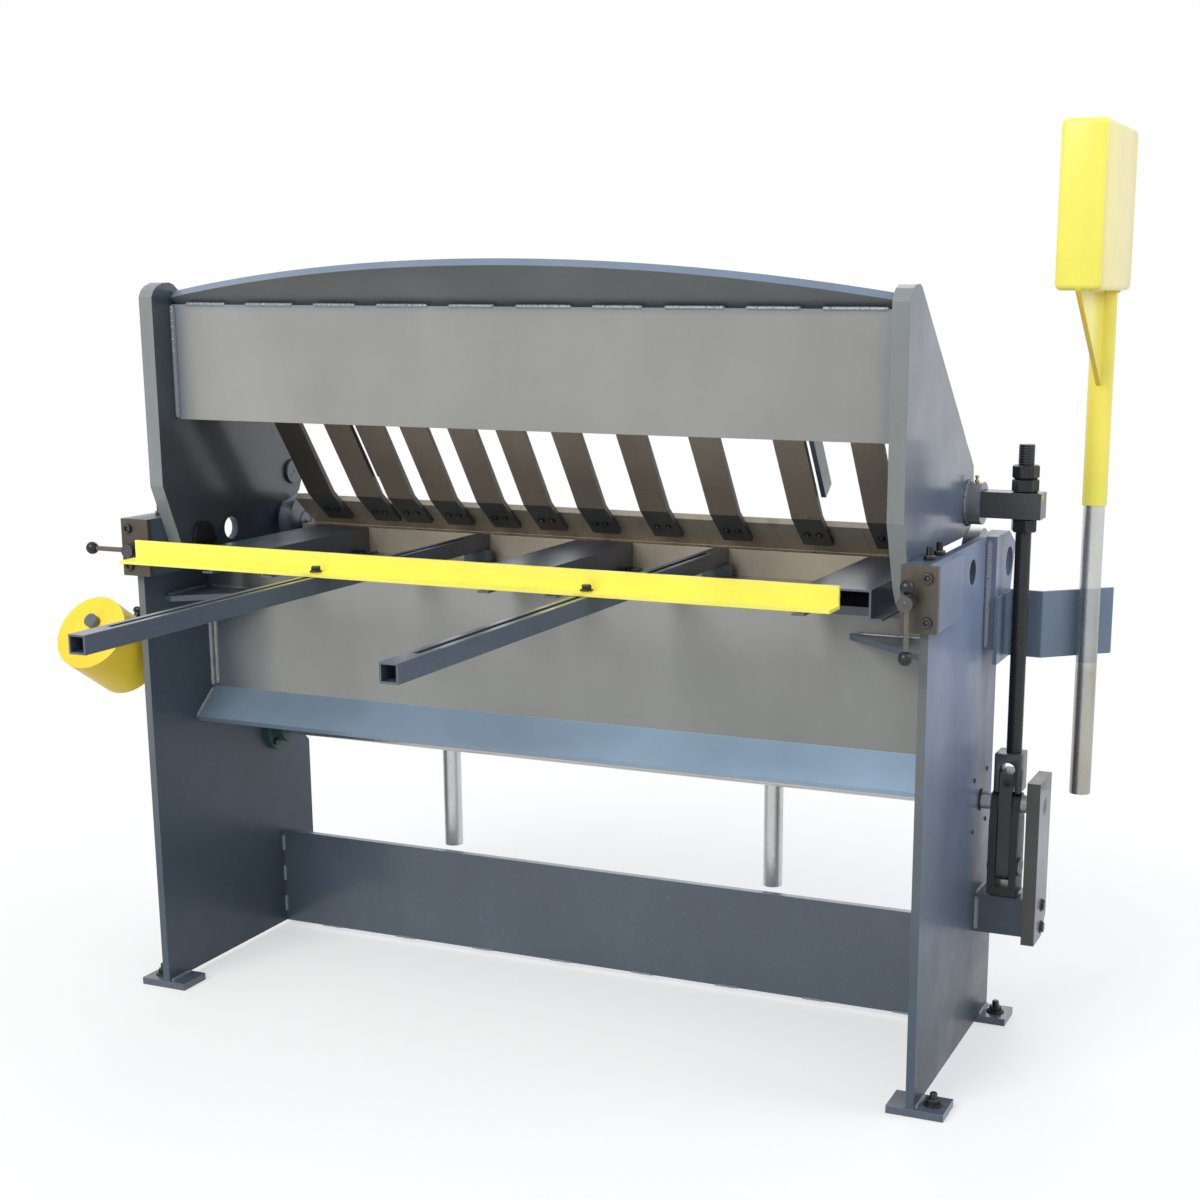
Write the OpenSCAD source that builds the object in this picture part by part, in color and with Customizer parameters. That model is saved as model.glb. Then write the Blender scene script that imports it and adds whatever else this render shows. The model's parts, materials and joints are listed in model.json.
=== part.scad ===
// Box and pan folding brake: welded side plates and bed, hinged upper beam with loose fingers,
// a crank shaft that clamps the beam through two tie rods, and a hinged folding apron in front.
// Every Y is first written from the rear edge of the side plates. The origin is on the floor,
// midway between the four anchor holes.

/* [Side plates] */
// outer face of each side plate from the middle
plate_x = 675; // [670:1:680]
// thickness of the heavy plates
plate_t = 12.7; // [12:0.1:13.4]
// depth of a side plate at the floor
side_depth = 455; // [445:1:470]
// top of the side plates and their ears
side_top = 822; // [820:1:826]
// height where the front edge of a side plate steps back
side_step_z = 345; // [320:5:360]
// how far the front edge steps back there
side_step = 30; // [25:1:40]
// height of the slanted corners on a side plate
side_chamfer = 30; // [20:1:40]
// radius of the hole near the top of a side plate
side_hole_r = 19.5; // [15:0.5:22]
// centre of that hole from the rear edge
side_hole_y = 245; // [230:1:260]
// centre of that hole above the floor
side_hole_z = 778; // [770:1:784]

/* [Feet] */
// inner end of a foot pad
pad_x = 632; // [620:1:640]
// length of a foot pad across the machine
pad_w = 88; // [80:1:96]
// depth of a foot pad
pad_d = 60; // [54:1:70]
// thickness of a foot pad
pad_t = 12; // [10:0.5:14]
// radius of an anchor hole
anchor_r = 7; // [6:0.5:9]
// anchor hole from the middle of the machine
anchor_x = 697; // [694:1:702]

/* [Bed] */
// rear face of the bed's upright panel
bed_y = 170; // [165:1:178]
// lower edge of the upright panel, where the lip is bent
bed_low_z = 507; // [480:1:530]
// how far the lip reaches back
lip_y = 54; // [45:1:60]
// how far the lip reaches down
lip_z = 44; // [36:1:50]
// upper face of the bed plate
bed_top_z = 727; // [724:0.5:729]
// work height of the bed nose
work_z = 771; // [771:0.1:771.4]
// bend line, the front of the bed
bend_y = 418; // [418:0.1:418.2]
// depth of the bed nose bar
nose_bar_d = 30; // [26:1:34]
// height of the bed nose bar
nose_bar_h = 70; // [60:1:80]
// half length of the bed nose bar
nose_bar_x = 610; // [604:1:614]
// depth of the corner notches that clear the apron hinges
notch_d = 58; // [56:1:64]
// level of the corner gussets
gusset_z = 676; // [660:1:690]
// thickness of the corner gussets
gusset_t = 9.5; // [8:0.5:12]
// length of a gusset along the bed panel
gusset_x = 155; // [140:1:170]
// length of a gusset along the side plate
gusset_y = 120; // [110:1:135]
// rear face of the lower crossbar
crossbar_y = 356; // [350:1:362]
// height of the lower crossbar
crossbar_h = 178; // [165:1:190]

/* [Table supports] */
// spacing of the three table supports
table_pitch = 521; // [515:1:524]
// width of a table support's top
table_w = 104; // [98:1:108]
// sheet thickness of a table support
table_t = 3.2; // [2.6:0.1:4]
// width of each foot flange of a table support
table_flange = 17; // [15:1:19]
// rear end of the table supports
table_y = 60; // [50:1:70]
// step of the table tops below the top of the gauge tubes
table_drop = 0.3; // [0.2:0.1:0.6]

/* [Back gauge] */
// outer size of a square gauge tube
tube_w = 25.4; // [24:0.2:26.4]
// wall of a gauge tube
tube_wall = 2.6; // [2:0.1:3]
// top of the gauge tubes
tube_top_z = 772; // [771.8:0.1:772.4]
// rear end of the gauge tubes, measured behind the machine
tube_back = 665; // [640:1:680]
// front end of the gauge tubes
tube_front_y = 387; // [380:0.5:387.5]
// middle of the left tube
tube_left_x = -235; // [-242:1:-230]
// middle of the right tube
tube_right_x = 214; // [208:1:220]
// width of the slot in each tube
slot_w = 9; // [8.8:0.1:9.6]
// solid length left at the rear end of each slot
slot_end = 62; // [50:1:70]
// half length of the gauge bar
gauge_x = 581; // [570:1:590]
// upright leg of the gauge bar
gauge_h = 31.8; // [28:0.1:36]
// flat leg of the gauge bar
gauge_d = 44.5; // [40:0.5:48]
// thickness of the gauge bar
gauge_t = 4.8; // [4:0.1:6]
// front face of the gauge bar, measured behind the machine
gauge_back = 112; // [100:1:130]

/* [Slide guides] */
// inner face of a guide housing
guide_x = 637; // [636.8:0.1:637.6]
// width of a guide housing
guide_w = 53; // [52:0.5:54]
// how far the housing stands out behind the side plate
guide_back = 4; // [3:0.5:5]
// front of a housing
guide_front_y = 131; // [130:0.5:133]
// underside of a housing
guide_z = 728; // [726:0.5:730]
// thickness of a guide's end block
end_block_t = 11; // [9:0.5:13]
// rear end of a slide block
slide_y = 62; // [58:0.5:62]
// length of a slide block
slide_len = 62; // [61.5:0.1:62.2]
// underside of a slide block
slide_z = 746; // [742:0.5:748]
// height of a slide block
slide_h = 58; // [57:0.5:59]
// wall between a slide block and the housing's outer face
slide_wall = 4.5; // [4:0.1:6]
// how far the slides can be set back
setback = 6; // [4:0.5:6]
// height of the setback screws
screw_z = 774; // [772:0.5:776]
// setback screw from the middle of the machine
screw_x = 653.5; // [652:0.5:656]
// radius of a setback screw
screw_r = 7; // [6:0.5:7.5]
// reach of a setback screw behind the machine
screw_back = 50; // [44:1:56]
// radius of a setback screw's hub
hub_r = 11; // [10:0.5:12]
// radius of a tommy bar
tommy_r = 4; // [3.5:0.1:4.5]
// radius of the balls on a tommy bar
ball_r = 8; // [7:0.1:8]
// length between the balls of a tommy bar
tommy_len = 95; // [95:1:105]
// how far each tommy bar hangs off centre
tommy_shift = 28; // [25:0.5:28]

/* [Upper beam] */
// pivot of the beam from the rear edge
pivot_y = 94; // [93:0.5:95]
// pivot of the beam above the floor
pivot_z = 783; // [782:0.5:784]
// radius of a pivot pin
pivot_r = 19; // [18:0.5:20]
// radius of a pivot pin's inner head
pivot_head_r = 28; // [25:0.5:30]
// thickness of the pin heads
head_t = 6; // [4:0.5:6]
// inner face of a beam arm
arm_x = 611; // [611:0.1:611.4]
// thickness of a beam arm
arm_t = 25; // [24.6:0.1:25.2]
// height of an arm's top corner
arm_top_z = 1200; // [1196:1:1206]
// how far an arm stands out behind the side plates
arm_back = 2; // [1:0.5:3]
// size that an arm's rounded corners follow
arm_round = 45; // [44.8:0.1:45.2]
// height of an arm's lower edge
arm_low_z = 818; // [817:0.5:820]
// rear face of the beam's upright panel
panel_y = 47; // [42:1:52]
// lower edge of the beam panel
panel_low_z = 982; // [975:1:990]
// upper edge of the beam panel
panel_top_z = 1165.5; // [1160:0.5:1170]
// slope of the arch plate above level
arch_slope = 39.5; // [38.5:0.5:40.5]
// length of the arch plate below the panel
arch_len = 290; // [275:1:300]
// rise of the arch plate above the panel at its ends
arch_end = 17; // [12:1:22]
// further rise of the arch in the middle
arch_rise = 77; // [60:1:85]
// length of the finger bar along its slope
bar_len = 70; // [62:1:74]
// thickness of the finger bar
bar_t = 16; // [13:0.5:17]
// upper edge of the finger bar, along the straps from their bend
bar_up = 231; // [226:1:232]

/* [Fingers] */
// width of a finger strap
strap_w = 50.8; // [44:0.4:50.8]
// thickness of a finger strap
strap_t = 9; // [8.6:0.1:9.2]
// rear face of the straps where they bend
strap_bend_y = 322; // [321:0.5:323]
// height of the bend in the straps
strap_bend_z = 835; // [834.5:0.5:836]
// lean of the upper straps from upright
strap_lean = 35.5; // [35:0.5:36]
// slope of the lower straps from upright
strap_tip_lean = 51.6; // [51.4:0.1:51.8]
// length of a strap above its bend
strap_up = 268; // [264:1:270]
// length of a strap below its bend
strap_down = 80; // [76:1:82]
// height of a finger nose
nose_h = 50; // [46:1:52]
// seam between neighbouring fingers
finger_gap = 0.4; // [0.3:0.1:1]
// step in which the finger widths are cut
finger_step = 25.4; // [25.2:0.1:25.6]
// left end of the row of fingers
fingers_left = -601; // [-603:1:-598]
// radius of a finger screw head
finger_screw_r = 6.5; // [5:0.5:7]
// height of a finger screw head
finger_screw_h = 5; // [4:0.5:6]

/* [Clamp linkage] */
// trunnion from the rear edge
trunnion_y = 361; // [360.5:0.5:361.5]
// trunnion above the floor
trunnion_z = 869; // [868:0.5:870]
// radius of a trunnion pin
trunnion_r = 15; // [14:0.5:16]
// radius of the collar round a trunnion pin
collar_r = 33; // [30:0.5:33]
// radius of a trunnion pin's inner head
trunnion_head_r = 20.5; // [18:0.5:22]
// outer end of a collar
collar_x = 660; // [658:0.5:661]
// outer end of a trunnion block
block_x = 753; // [750:1:755]
// size of a trunnion block
block_w = 40; // [39:0.5:40]
// tie rod from the middle of the machine
rod_x = 724; // [723:0.5:725]
// radius of a tie rod
rod_r = 12; // [11:0.5:12.5]
// top of a tie rod
rod_top_z = 962; // [955:1:968]
// width of a tie rod nut over its corners
nut_w = 41.6; // [40:0.2:43]
// height of a tie rod nut
nut_h = 21; // [19:0.5:22]
// inner face of a rod fork
fork_x = 698; // [697:0.5:699]
// width of a rod fork
fork_w = 43; // [42:0.5:43.5]
// depth of a rod fork
fork_d = 44; // [42:1:46]
// lower end of a rod fork
fork_z = 415.5; // [415:0.5:418]
// height of a rod fork
fork_h = 62.5; // [60:0.5:66]
// inner face of a link bar
link_x = 709.3; // [709:0.1:709.6]
// thickness of a link bar
link_t = 20; // [19.4:0.1:20.2]
// width of a link bar
link_w = 48; // [44:1:48]
// height of a link bar inside its fork
link_up_z = 449; // [446:1:450]

/* [Crank shaft] */
// clamp shaft from the rear edge
shaft_y = 355; // [354.5:0.5:355.5]
// clamp shaft above the floor
shaft_z = 396; // [395.5:0.5:396.5]
// radius of the clamp shaft
shaft_r = 14.3; // [13.5:0.1:15]
// crank throw, shaft to pin
throw = 104; // [103:0.5:104.5]
// inner face of a crank
crank_x = 695; // [694:0.5:695.5]
// outer face of a crank
crank_end_x = 741.5; // [741:0.5:742]
// thickness of a crank cheek
cheek_t = 11.8; // [11:0.1:12]
// width of a crank cheek
crank_w = 50; // [46:1:50]
// radius of a crank's hub
crank_hub_r = 18.5; // [18:0.1:18.6]
// height of a crank's straight part above its pin
crank_up = 70; // [60:1:74]
// reach of a crank beyond its pin
crank_tip = 44; // [43:0.5:44]
// thickness of the web that joins the cheeks
web_t = 14; // [12:0.5:14.5]
// inner face of the right outer bearing plate
bearing_x_right = 757; // [756:0.5:759]
// inner face of the left outer bearing plate
bearing_x_left = 768; // [767.5:0.5:770]
// thickness of an outer bearing plate
bearing_t = 21; // [18:0.5:22]
// depth of an outer bearing plate
bearing_d = 85; // [80:1:90]
// rear edge of an outer bearing plate
bearing_y = 315; // [312:1:318]
// underside of an outer bearing plate
bearing_z = 175; // [165:1:178]
// height of an outer bearing plate
bearing_h = 266; // [260:1:275]
// rear face of a bearing bracket
bracket_y = 338; // [335:1:340]
// depth of a bearing bracket
bracket_d = 60; // [56:1:62]
// underside of a bearing bracket
bracket_z = 180; // [178:0.5:185]
// height of a bearing bracket
bracket_h = 63; // [56:0.5:63]
// radius of a shaft bearing's flange
flange_r = 46; // [42:0.5:48]
// thickness of a shaft bearing's flange
flange_t = 12; // [10:0.5:14]
// radius of a shaft bearing's boss
boss_r = 29; // [26:0.5:32]
// length of a shaft bearing's boss
boss_len = 18; // [14:0.5:22]

/* [Clamp lever] */
// lever from the middle of the machine, on the left
lever_x = 754.6; // [754.2:0.1:755]
// radius of the lever rod
lever_r = 11.5; // [10.5:0.1:11.8]
// lift of the rear lever above level
lever_lift = 33.5; // [32:0.5:35]
// length of the rear lever
lever_len = 462; // [458:1:470]
// radius of the lever hub
lever_hub_r = 25; // [22:0.5:27]
// width of the lever hub
lever_hub_w = 24; // [23:0.5:25]
// length of the hand lever in front
hand_len = 320; // [290:1:340]
// drop of the hand lever below level
hand_drop = 62; // [58:1:66]
// radius of the hand grip
grip_r = 17; // [14:0.5:18]
// length of the hand grip
grip_len = 110; // [90:1:130]
// radius of the clamp counterweight
weight_r = 65; // [60:1:68]
// length of the clamp counterweight
weight_len = 110; // [100:1:120]
// how far the counterweight's middle lies below its lever
weight_off = 18; // [12:1:20]
// far face of the clamp counterweight along its lever
weight_reach = 450; // [440:1:455]

/* [Apron] */
// hinge axis of the apron above the floor
hinge_z = 773; // [772.8:0.1:773.2]
// radius of the apron hinge pins
hinge_r = 16; // [15:0.5:17]
// thickness of a hinge ear
ear_t = 16; // [15:0.5:16.3]
// rear edge of a hinge ear
ear_y = 330; // [325:1:336]
// underside of a hinge ear
ear_z = 645; // [635:1:655]
// radius of the recess round a hinge pin
recess_r = 23.5; // [21:0.5:25]
// depth of that recess
recess_d = 6; // [4:0.5:8]
// inner face of an apron lug
lug_x = 623; // [622:0.5:624]
// thickness of an apron lug
lug_t = 25; // [22:0.5:27]
// radius of an apron lug round the hinge
lug_r = 50; // [47:0.5:52]
// thickness of the apron leaf
leaf_t = 12.7; // [12:0.1:13.4]
// height of the apron leaf
leaf_h = 171; // [160:1:185]
// depth of the apron's stiffening angle
stiff_d = 50; // [44:1:56]
// level of the apron's stiffening angle
stiff_z = 640; // [630:1:648]
// height of the stiffening angle's upright leg
stiff_h = 74; // [66:1:76]
// apron handle on the left
handle_left_x = -345; // [-355:1:-335]
// apron handle on the right
handle_right_x = 290; // [280:1:300]
// radius of the galvanised handle tubes
pipe_r = 16.7; // [15.5:0.1:16.8]
// wall of the galvanised tubes
pipe_wall = 3.4; // [2.5:0.1:4]
// lower end of the apron handles
handle_z = 176; // [165:1:190]
// upper end of the apron handles
handle_top_z = 622; // [615:1:628]

/* [Apron counterweight] */
// thickness of the counterweight bracket strip
strip_t = 6.3; // [5.5:0.1:6.4]
// rear end of the strip behind the bend line
strip_back = 93; // [88:1:96]
// bend of the strip behind the bend line
strip_bend = 2; // [1.8:0.1:2.4]
// where the strip turns out again
leg_x = 748; // [746:1:750]
// reach of the strip's last leg across the machine
leg_reach = 94; // [92:1:96]
// reach of the strip's last leg in front of the bend line
leg_out = 79; // [77:1:81]
// underside of the bracket strip
strip_z = 623; // [618:1:628]
// height of the bracket strip
strip_h = 106; // [100:1:110]
// lower end of the counterweight pipe
post_low_z = 400; // [390:1:420]
// upper end of the counterweight pipe
post_top_z = 1160; // [1100:5:1170]
// lower end of the yellow sleeve
sleeve_z = 865; // [850:1:880]
// wall of the yellow sleeve
sleeve_wall = 2.2; // [1.8:0.1:2.8]
// underside of the weight box
box_z = 1191; // [1180:1:1200]
// height of the weight box
box_h = 235; // [220:1:245]
// width of the weight box
box_w = 68; // [62:1:72]
// depth of the weight box
box_d = 250; // [235:1:260]
// wall of the weight box
box_wall = 4; // [3:0.5:5]
// drop of the fin below the weight box
fin_drop = 142; // [130:1:150]
// thickness of the fin
fin_t = 5; // [4:0.5:6]

/* [Hidden] */
$fn = 64;
over = 2;
double_share = 2;
hub_len = 22;
seat = 0.3;
fit = 0.06;
snug = 0.02;
half = 0.5;
table_head_w = 13;
table_head_h = 5;
stop_head_w = 15;
stop_head_h = 7;
stop_nut_t = 6;
bearing_head_w = 19;
bearing_head_h = 7;
stud_r = 5;
stud_h = 16;
stud_x = 660;
cap_r = 6;
cap_h = 5;
cap_in = 16;
cap_side = 14;
pin_cap_r = 15;
pin_cap_t = 3;
knob_r = 6;
knob_h = 14;
rib_t = 8;
rib_w = 33;
rib_low = 40;
rib_gap = 4;
nose_face = 2;
nose_crest = 8;
fin_in = 29;
table_bolt_shares = [0.475, 0.81];
stud_shares = [0.374, 0.79];
bracket_bolt_shares = [0.19, 0.778];
bracket_side_share = 0.45;
ear_low_share = [0.34, -0.9];
ear_tip_share = [0.8, 0.5];
arm_heel_share = 1.82;
arm_neck_share = 2.07;
arm_top_shares = [[0, -0.51], [0.13, -0.29], [0.34, -0.13], [0.67, -0.02], [1.04, 0], [1.27, -0.07],
  [1.47, -0.22]];
arm_front_shares = [[-1, 2.51], [-0.62, 2.16], [0.09, 1.62], [0.56, 1.2], [0.62, 0.8], [0.67, -0.44],
  [0.51, -0.78], [0.29, -0.96]];
arm_pivot_shares = [[1.47, 0.62], [1.2, 0.38], [1.02, 0.11], [0.96, -0.11], [0.8, -0.6], [0.44, -0.89],
  [0, -1], [-0.49, -0.91], [-0.93, -0.58], [-1.27, -0.09]];
quarter_turn = 90;
half_turn = 180;
hex_sides = 6;
side_inner = plate_x - plate_t;
anchor_y = pad_d * half;
rear_shift = side_depth * half;
side_front_y = side_depth - side_step;
housing_end = guide_x + guide_w;
nose_low = [bend_y, hinge_z] + lug_r * ear_low_share;
nose_tip = [bend_y, hinge_z] + lug_r * ear_tip_share;
nose_top = [bend_y - nose_crest * half, side_top];
bar_y = bend_y - seat - nose_bar_d;
table_z = tube_top_z - table_drop;
gauge_low_z = tube_top_z + seat;
gauge_y = -gauge_back - gauge_d;
bolt_y = -gauge_back - gauge_d * half;
arm_end = arm_x + arm_t;
block_start = collar_x + seat;
pin_end = fork_x + over;
panel_front = panel_y + plate_t;
arch_r = (arm_x * arm_x + arch_rise * arch_rise) / (arch_rise * double_share);
ear_end = plate_x + ear_t;
leaf_y = bend_y + seat;
leaf_front = leaf_y + leaf_t;
leaf_z = work_z - leaf_h;
leaf_x = lug_x - seat;
handle_y = leaf_front + seat + pipe_r;
pin_z = shaft_z - throw;
slide_out = housing_end - slide_wall - seat;
strip_in = ear_end + half + strip_t * half;
strip_path = [[strip_in, bend_y - strip_back], [strip_in, bend_y - strip_bend],
  [leg_x, bend_y - strip_bend - strip_t * half], [leg_x + leg_reach, bend_y + leg_out]];
leg_from = strip_path[2];
leg_to = strip_path[3];
leg_len = norm(leg_to - leg_from);
leg_dir = (leg_to - leg_from) / leg_len;
leg_share = 0.57;
post_off = pipe_r + strip_t * half + seat;
post_at = leg_from + leg_dir * leg_len * leg_share + [leg_dir[1], -leg_dir[0]] * post_off;
sleeve_r = pipe_r + seat + sleeve_wall;
box_y = post_at[1] + fin_in - box_d;
nose_width_shares = [6, 2, 3, 4, 3, 4, 4, 5, 5, 6, 4];
nose_widths = [for (k = nose_width_shares) k * finger_step];
strap_place_shares = [-0.859, -0.696, -0.591, -0.453, -0.304, -0.157, 0.008, 0.196, 0.399, 0.6285, 0.833];
strap_xs = [for (k = strap_place_shares) k * arm_x];
blue_grey = [0.36, 0.41, 0.47];
yellow = [0.98, 0.88, 0.2];
steel = [0.6, 0.6, 0.6];
dark_steel = [0.3, 0.27, 0.25];
ground = [0.7, 0.62, 0.5];
black = [0.08, 0.08, 0.09];
galvanised = [0.68, 0.7, 0.72];
green = [0.12, 0.25, 0.2];

module placed() {
  translate([0, -rear_shift, 0]) children();
}

module both_sides() {
  children();
  mirror([1, 0, 0]) children();
}

// a slab standing in the Y and Z plane
module upright(x_from, thick) {
  translate([x_from, 0, 0]) rotate([quarter_turn, 0, quarter_turn]) linear_extrude(thick) children();
}

// a round bar along X
module bar_x(radius, x_from, x_to, y, z) {
  translate([x_from, y, z]) rotate([0, quarter_turn, 0]) cylinder(h = x_to - x_from, r = radius);
}

// a round bar along Y
module bar_y_way(radius, y_from, y_to, x, z) {
  translate([x, y_from, z]) rotate([-quarter_turn, 0, 0]) cylinder(h = y_to - y_from, r = radius);
}

module box(low, high) {
  translate(low) cube(high - low);
}

module side_plate() {
  upright(side_inner, plate_t) difference() {
    polygon([[0, pad_t], [side_depth, pad_t], [side_depth, side_step_z],
      [side_front_y, side_step_z + side_chamfer], [side_front_y, nose_low[1] - side_chamfer],
      nose_low, nose_tip, nose_top,
      [guide_front_y, side_top], [guide_front_y, guide_z], [0, guide_z]]);
    translate([side_hole_y, side_hole_z]) circle(r = side_hole_r);
    translate([shaft_y, shaft_z]) circle(r = shaft_r + over);
    translate([bend_y, hinge_z]) circle(r = hinge_r + fit);
  }
}

module left_side_plate() {
  color(blue_grey) placed() mirror([1, 0, 0]) side_plate();
}

module right_side_plate() {
  color(blue_grey) placed() side_plate();
}

module foot_pad(y_from) {
  difference() {
    box([pad_x, y_from, 0], [pad_x + pad_w, y_from + pad_d, pad_t]);
    translate([anchor_x, y_from + pad_d * half, -over]) cylinder(h = pad_t + over * double_share, r = anchor_r);
  }
}

module foot_pads() {
  color(blue_grey) placed() both_sides() {
    foot_pad(0);
    foot_pad(side_depth - pad_d);
  }
}

module bed_plate() {
  lip_len = sqrt(lip_y * lip_y + lip_z * lip_z);
  off_y = plate_t * lip_z / lip_len;
  off_z = plate_t * lip_y / lip_len;
  in_z = bed_low_z - lip_z - off_z + (lip_y - off_y + plate_t) * lip_z / lip_y;
  color(blue_grey) placed() difference() {
    upright(-side_inner, side_inner + side_inner) polygon([[bed_y, bed_top_z], [bed_y, bed_low_z],
      [bed_y - lip_y, bed_low_z - lip_z], [bed_y - lip_y + off_y, bed_low_z - lip_z - off_z],
      [bed_y + plate_t, in_z], [bed_y + plate_t, bed_top_z - plate_t],
      [bar_y, bed_top_z - plate_t], [bar_y, bed_top_z]]);
    both_sides() box([nose_bar_x, bend_y - notch_d, bed_low_z], [plate_x, bend_y, work_z]);
  }
}

module bed_nose_bar() {
  color(ground) placed()
    box([-nose_bar_x, bar_y, work_z - nose_bar_h], [nose_bar_x, bar_y + nose_bar_d, work_z]);
}

module hex_head(width, height) {
  cylinder(h = height, d = width, $fn = hex_sides);
}

module table_bolt_places() {
  for (i = [-1, 0, 1])
    for (s = [-1, 1])
      for (k = table_bolt_shares)
        translate([i * table_pitch + s * (table_w + table_flange) * half,
          table_y + (bend_y - table_y) * k, bed_top_z + table_t])
          children();
}

module bed_fasteners() {
  color(black) placed() table_bolt_places() hex_head(table_head_w, table_head_h);
}

module bed_gussets() {
  color(blue_grey) placed() both_sides() translate([0, 0, gusset_z]) linear_extrude(gusset_t)
    polygon([[side_inner, bed_y], [side_inner - gusset_x, bed_y],
      [side_inner - plate_t, bed_y - gusset_y], [side_inner, bed_y - gusset_y]]);
}

module lower_crossbar() {
  color(blue_grey) placed()
    box([-side_inner, crossbar_y, pad_t], [side_inner, crossbar_y + plate_t, pad_t + crossbar_h]);
}

module guide_housing() {
  difference() {
    box([guide_x, -guide_back, guide_z], [housing_end, guide_front_y, side_top]);
    box([guide_x - over, slide_y - setback - seat * double_share, slide_z - seat],
      [slide_out + seat, slide_y + slide_len + seat, slide_z + slide_h + seat]);
    bar_y_way(screw_r + fit, -guide_back - over, slide_y, screw_x, screw_z);
  }
}

module guide_housings() {
  color(blue_grey) placed() both_sides() guide_housing();
}

module guide_end_blocks() {
  color(ground) placed() both_sides() difference() {
    box([guide_x, -guide_back - end_block_t, guide_z], [housing_end, -guide_back, side_top]);
    bar_y_way(screw_r + fit, -guide_back - end_block_t - over, over, screw_x, screw_z);
  }
}

module guide_hardware() {
  color(black) placed() both_sides() {
    for (z = [guide_z + cap_in, side_top - cap_in])
      bar_y_way(cap_r, -guide_back - end_block_t - cap_h, -guide_back - end_block_t, housing_end - cap_side, z);
    for (k = stud_shares)
      translate([stud_x, guide_front_y * k, side_top]) {
        hex_head(nut_h, cap_h + over);
        cylinder(h = stud_h, r = stud_r);
      }
  }
}

module shaft_bearings() {
  color(green) placed() both_sides() difference() {
    union() {
      bar_x(flange_r, side_inner - flange_t, side_inner, shaft_y, shaft_z);
      bar_x(boss_r, side_inner - flange_t - boss_len, side_inner - flange_t, shaft_y, shaft_z);
    }
    bar_x(shaft_r + fit, side_inner - flange_t - boss_len - over, plate_x, shaft_y, shaft_z);
  }
}

module hinge_ears() {
  foot_y = bend_y - 18;
  color(blue_grey) placed() both_sides() difference() {
    upright(plate_x, ear_t) difference() {
      polygon([[ear_y, ear_z], [ear_y, side_top], nose_top, nose_tip, nose_low, [foot_y, ear_z]]);
      translate([bend_y, hinge_z]) circle(r = hinge_r + fit);
    }
    bar_x(recess_r, ear_end - recess_d, ear_end + over, bend_y, hinge_z);
  }
}

module outer_bearing(x_from) {
  upright(x_from, bearing_t) difference() {
    polygon([[bearing_y, bearing_z], [bearing_y + bearing_d - side_chamfer, bearing_z],
      [bearing_y + bearing_d, bearing_z + side_chamfer], [bearing_y + bearing_d, bearing_z + bearing_h],
      [bearing_y, bearing_z + bearing_h]]);
    translate([shaft_y, shaft_z]) circle(r = shaft_r + fit);
  }
}

module outer_bearing_plates() {
  color(blue_grey) placed() {
    outer_bearing(bearing_x_right);
    mirror([1, 0, 0]) outer_bearing(bearing_x_left);
  }
}

module bearing_brackets() {
  low = [plate_x, bracket_y, bracket_z];
  color(blue_grey) placed() {
    box(low, [bearing_x_right, bracket_y + bracket_d, bracket_z + bracket_h]);
    mirror([1, 0, 0]) box(low, [bearing_x_left, bracket_y + bracket_d, bracket_z + bracket_h]);
  }
}

module bearing_bolt_pair(x_from) {
  for (k = bracket_bolt_shares)
    translate([x_from, bracket_y + bracket_d * bracket_side_share, bracket_z + bracket_h * k])
      rotate([0, quarter_turn, 0]) hex_head(bearing_head_w, bearing_head_h);
}

module bearing_bolts() {
  color(black) placed() {
    bearing_bolt_pair(bearing_x_right + bearing_t);
    mirror([1, 0, 0]) bearing_bolt_pair(bearing_x_left + bearing_t);
  }
}

module table_support(x) {
  w = table_w * half;
  translate([x, bar_y, 0]) rotate([quarter_turn, 0, 0]) linear_extrude(bar_y - table_y)
    polygon([[-w - table_flange, bed_top_z], [-w + table_t, bed_top_z], [-w + table_t, table_z - table_t],
      [w - table_t, table_z - table_t], [w - table_t, bed_top_z], [w + table_flange, bed_top_z],
      [w + table_flange, bed_top_z + table_t], [w, bed_top_z + table_t], [w, table_z],
      [-w, table_z], [-w, bed_top_z + table_t], [-w - table_flange, bed_top_z + table_t]]);
}

module table_supports() {
  color(blue_grey) placed() for (i = [-1, 0, 1]) table_support(i * table_pitch);
}

module gauge_tube(x) {
  w = tube_w * half;
  z = tube_top_z - tube_w;
  difference() {
    box([x - w, -tube_back, z], [x + w, tube_front_y, tube_top_z]);
    box([x - w + tube_wall, -tube_back - over, z + tube_wall],
      [x + w - tube_wall, tube_front_y + over, tube_top_z - tube_wall]);
    box([x - slot_w * half, -tube_back + slot_end, tube_top_z - tube_wall - over],
      [x + slot_w * half, tube_front_y - slot_end, tube_top_z + over]);
  }
}

module gauge_tubes() {
  color(blue_grey) placed() {
    gauge_tube(tube_left_x);
    gauge_tube(tube_right_x);
  }
}

module gauge_tube_brackets() {
  w = tube_w * half + plate_t;
  color(blue_grey) placed() for (x = [tube_left_x, tube_right_x])
    for (y = [bed_y + plate_t, bar_y - plate_t * double_share])
      box([x - w, y, bed_top_z], [x + w, y + plate_t, tube_top_z - tube_w]);
}

module gauge_stop() {
  color(yellow) placed() difference() {
    union() {
      box([-gauge_x, gauge_y, gauge_low_z], [gauge_x, -gauge_back, gauge_low_z + gauge_t]);
      box([-gauge_x, -gauge_back - gauge_t, gauge_low_z], [gauge_x, -gauge_back, gauge_low_z + gauge_h]);
    }
    for (x = [tube_left_x, tube_right_x])
      translate([x, bolt_y, gauge_low_z - over])
        cylinder(h = gauge_t + over * double_share, r = tommy_r + snug);
  }
}

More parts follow.
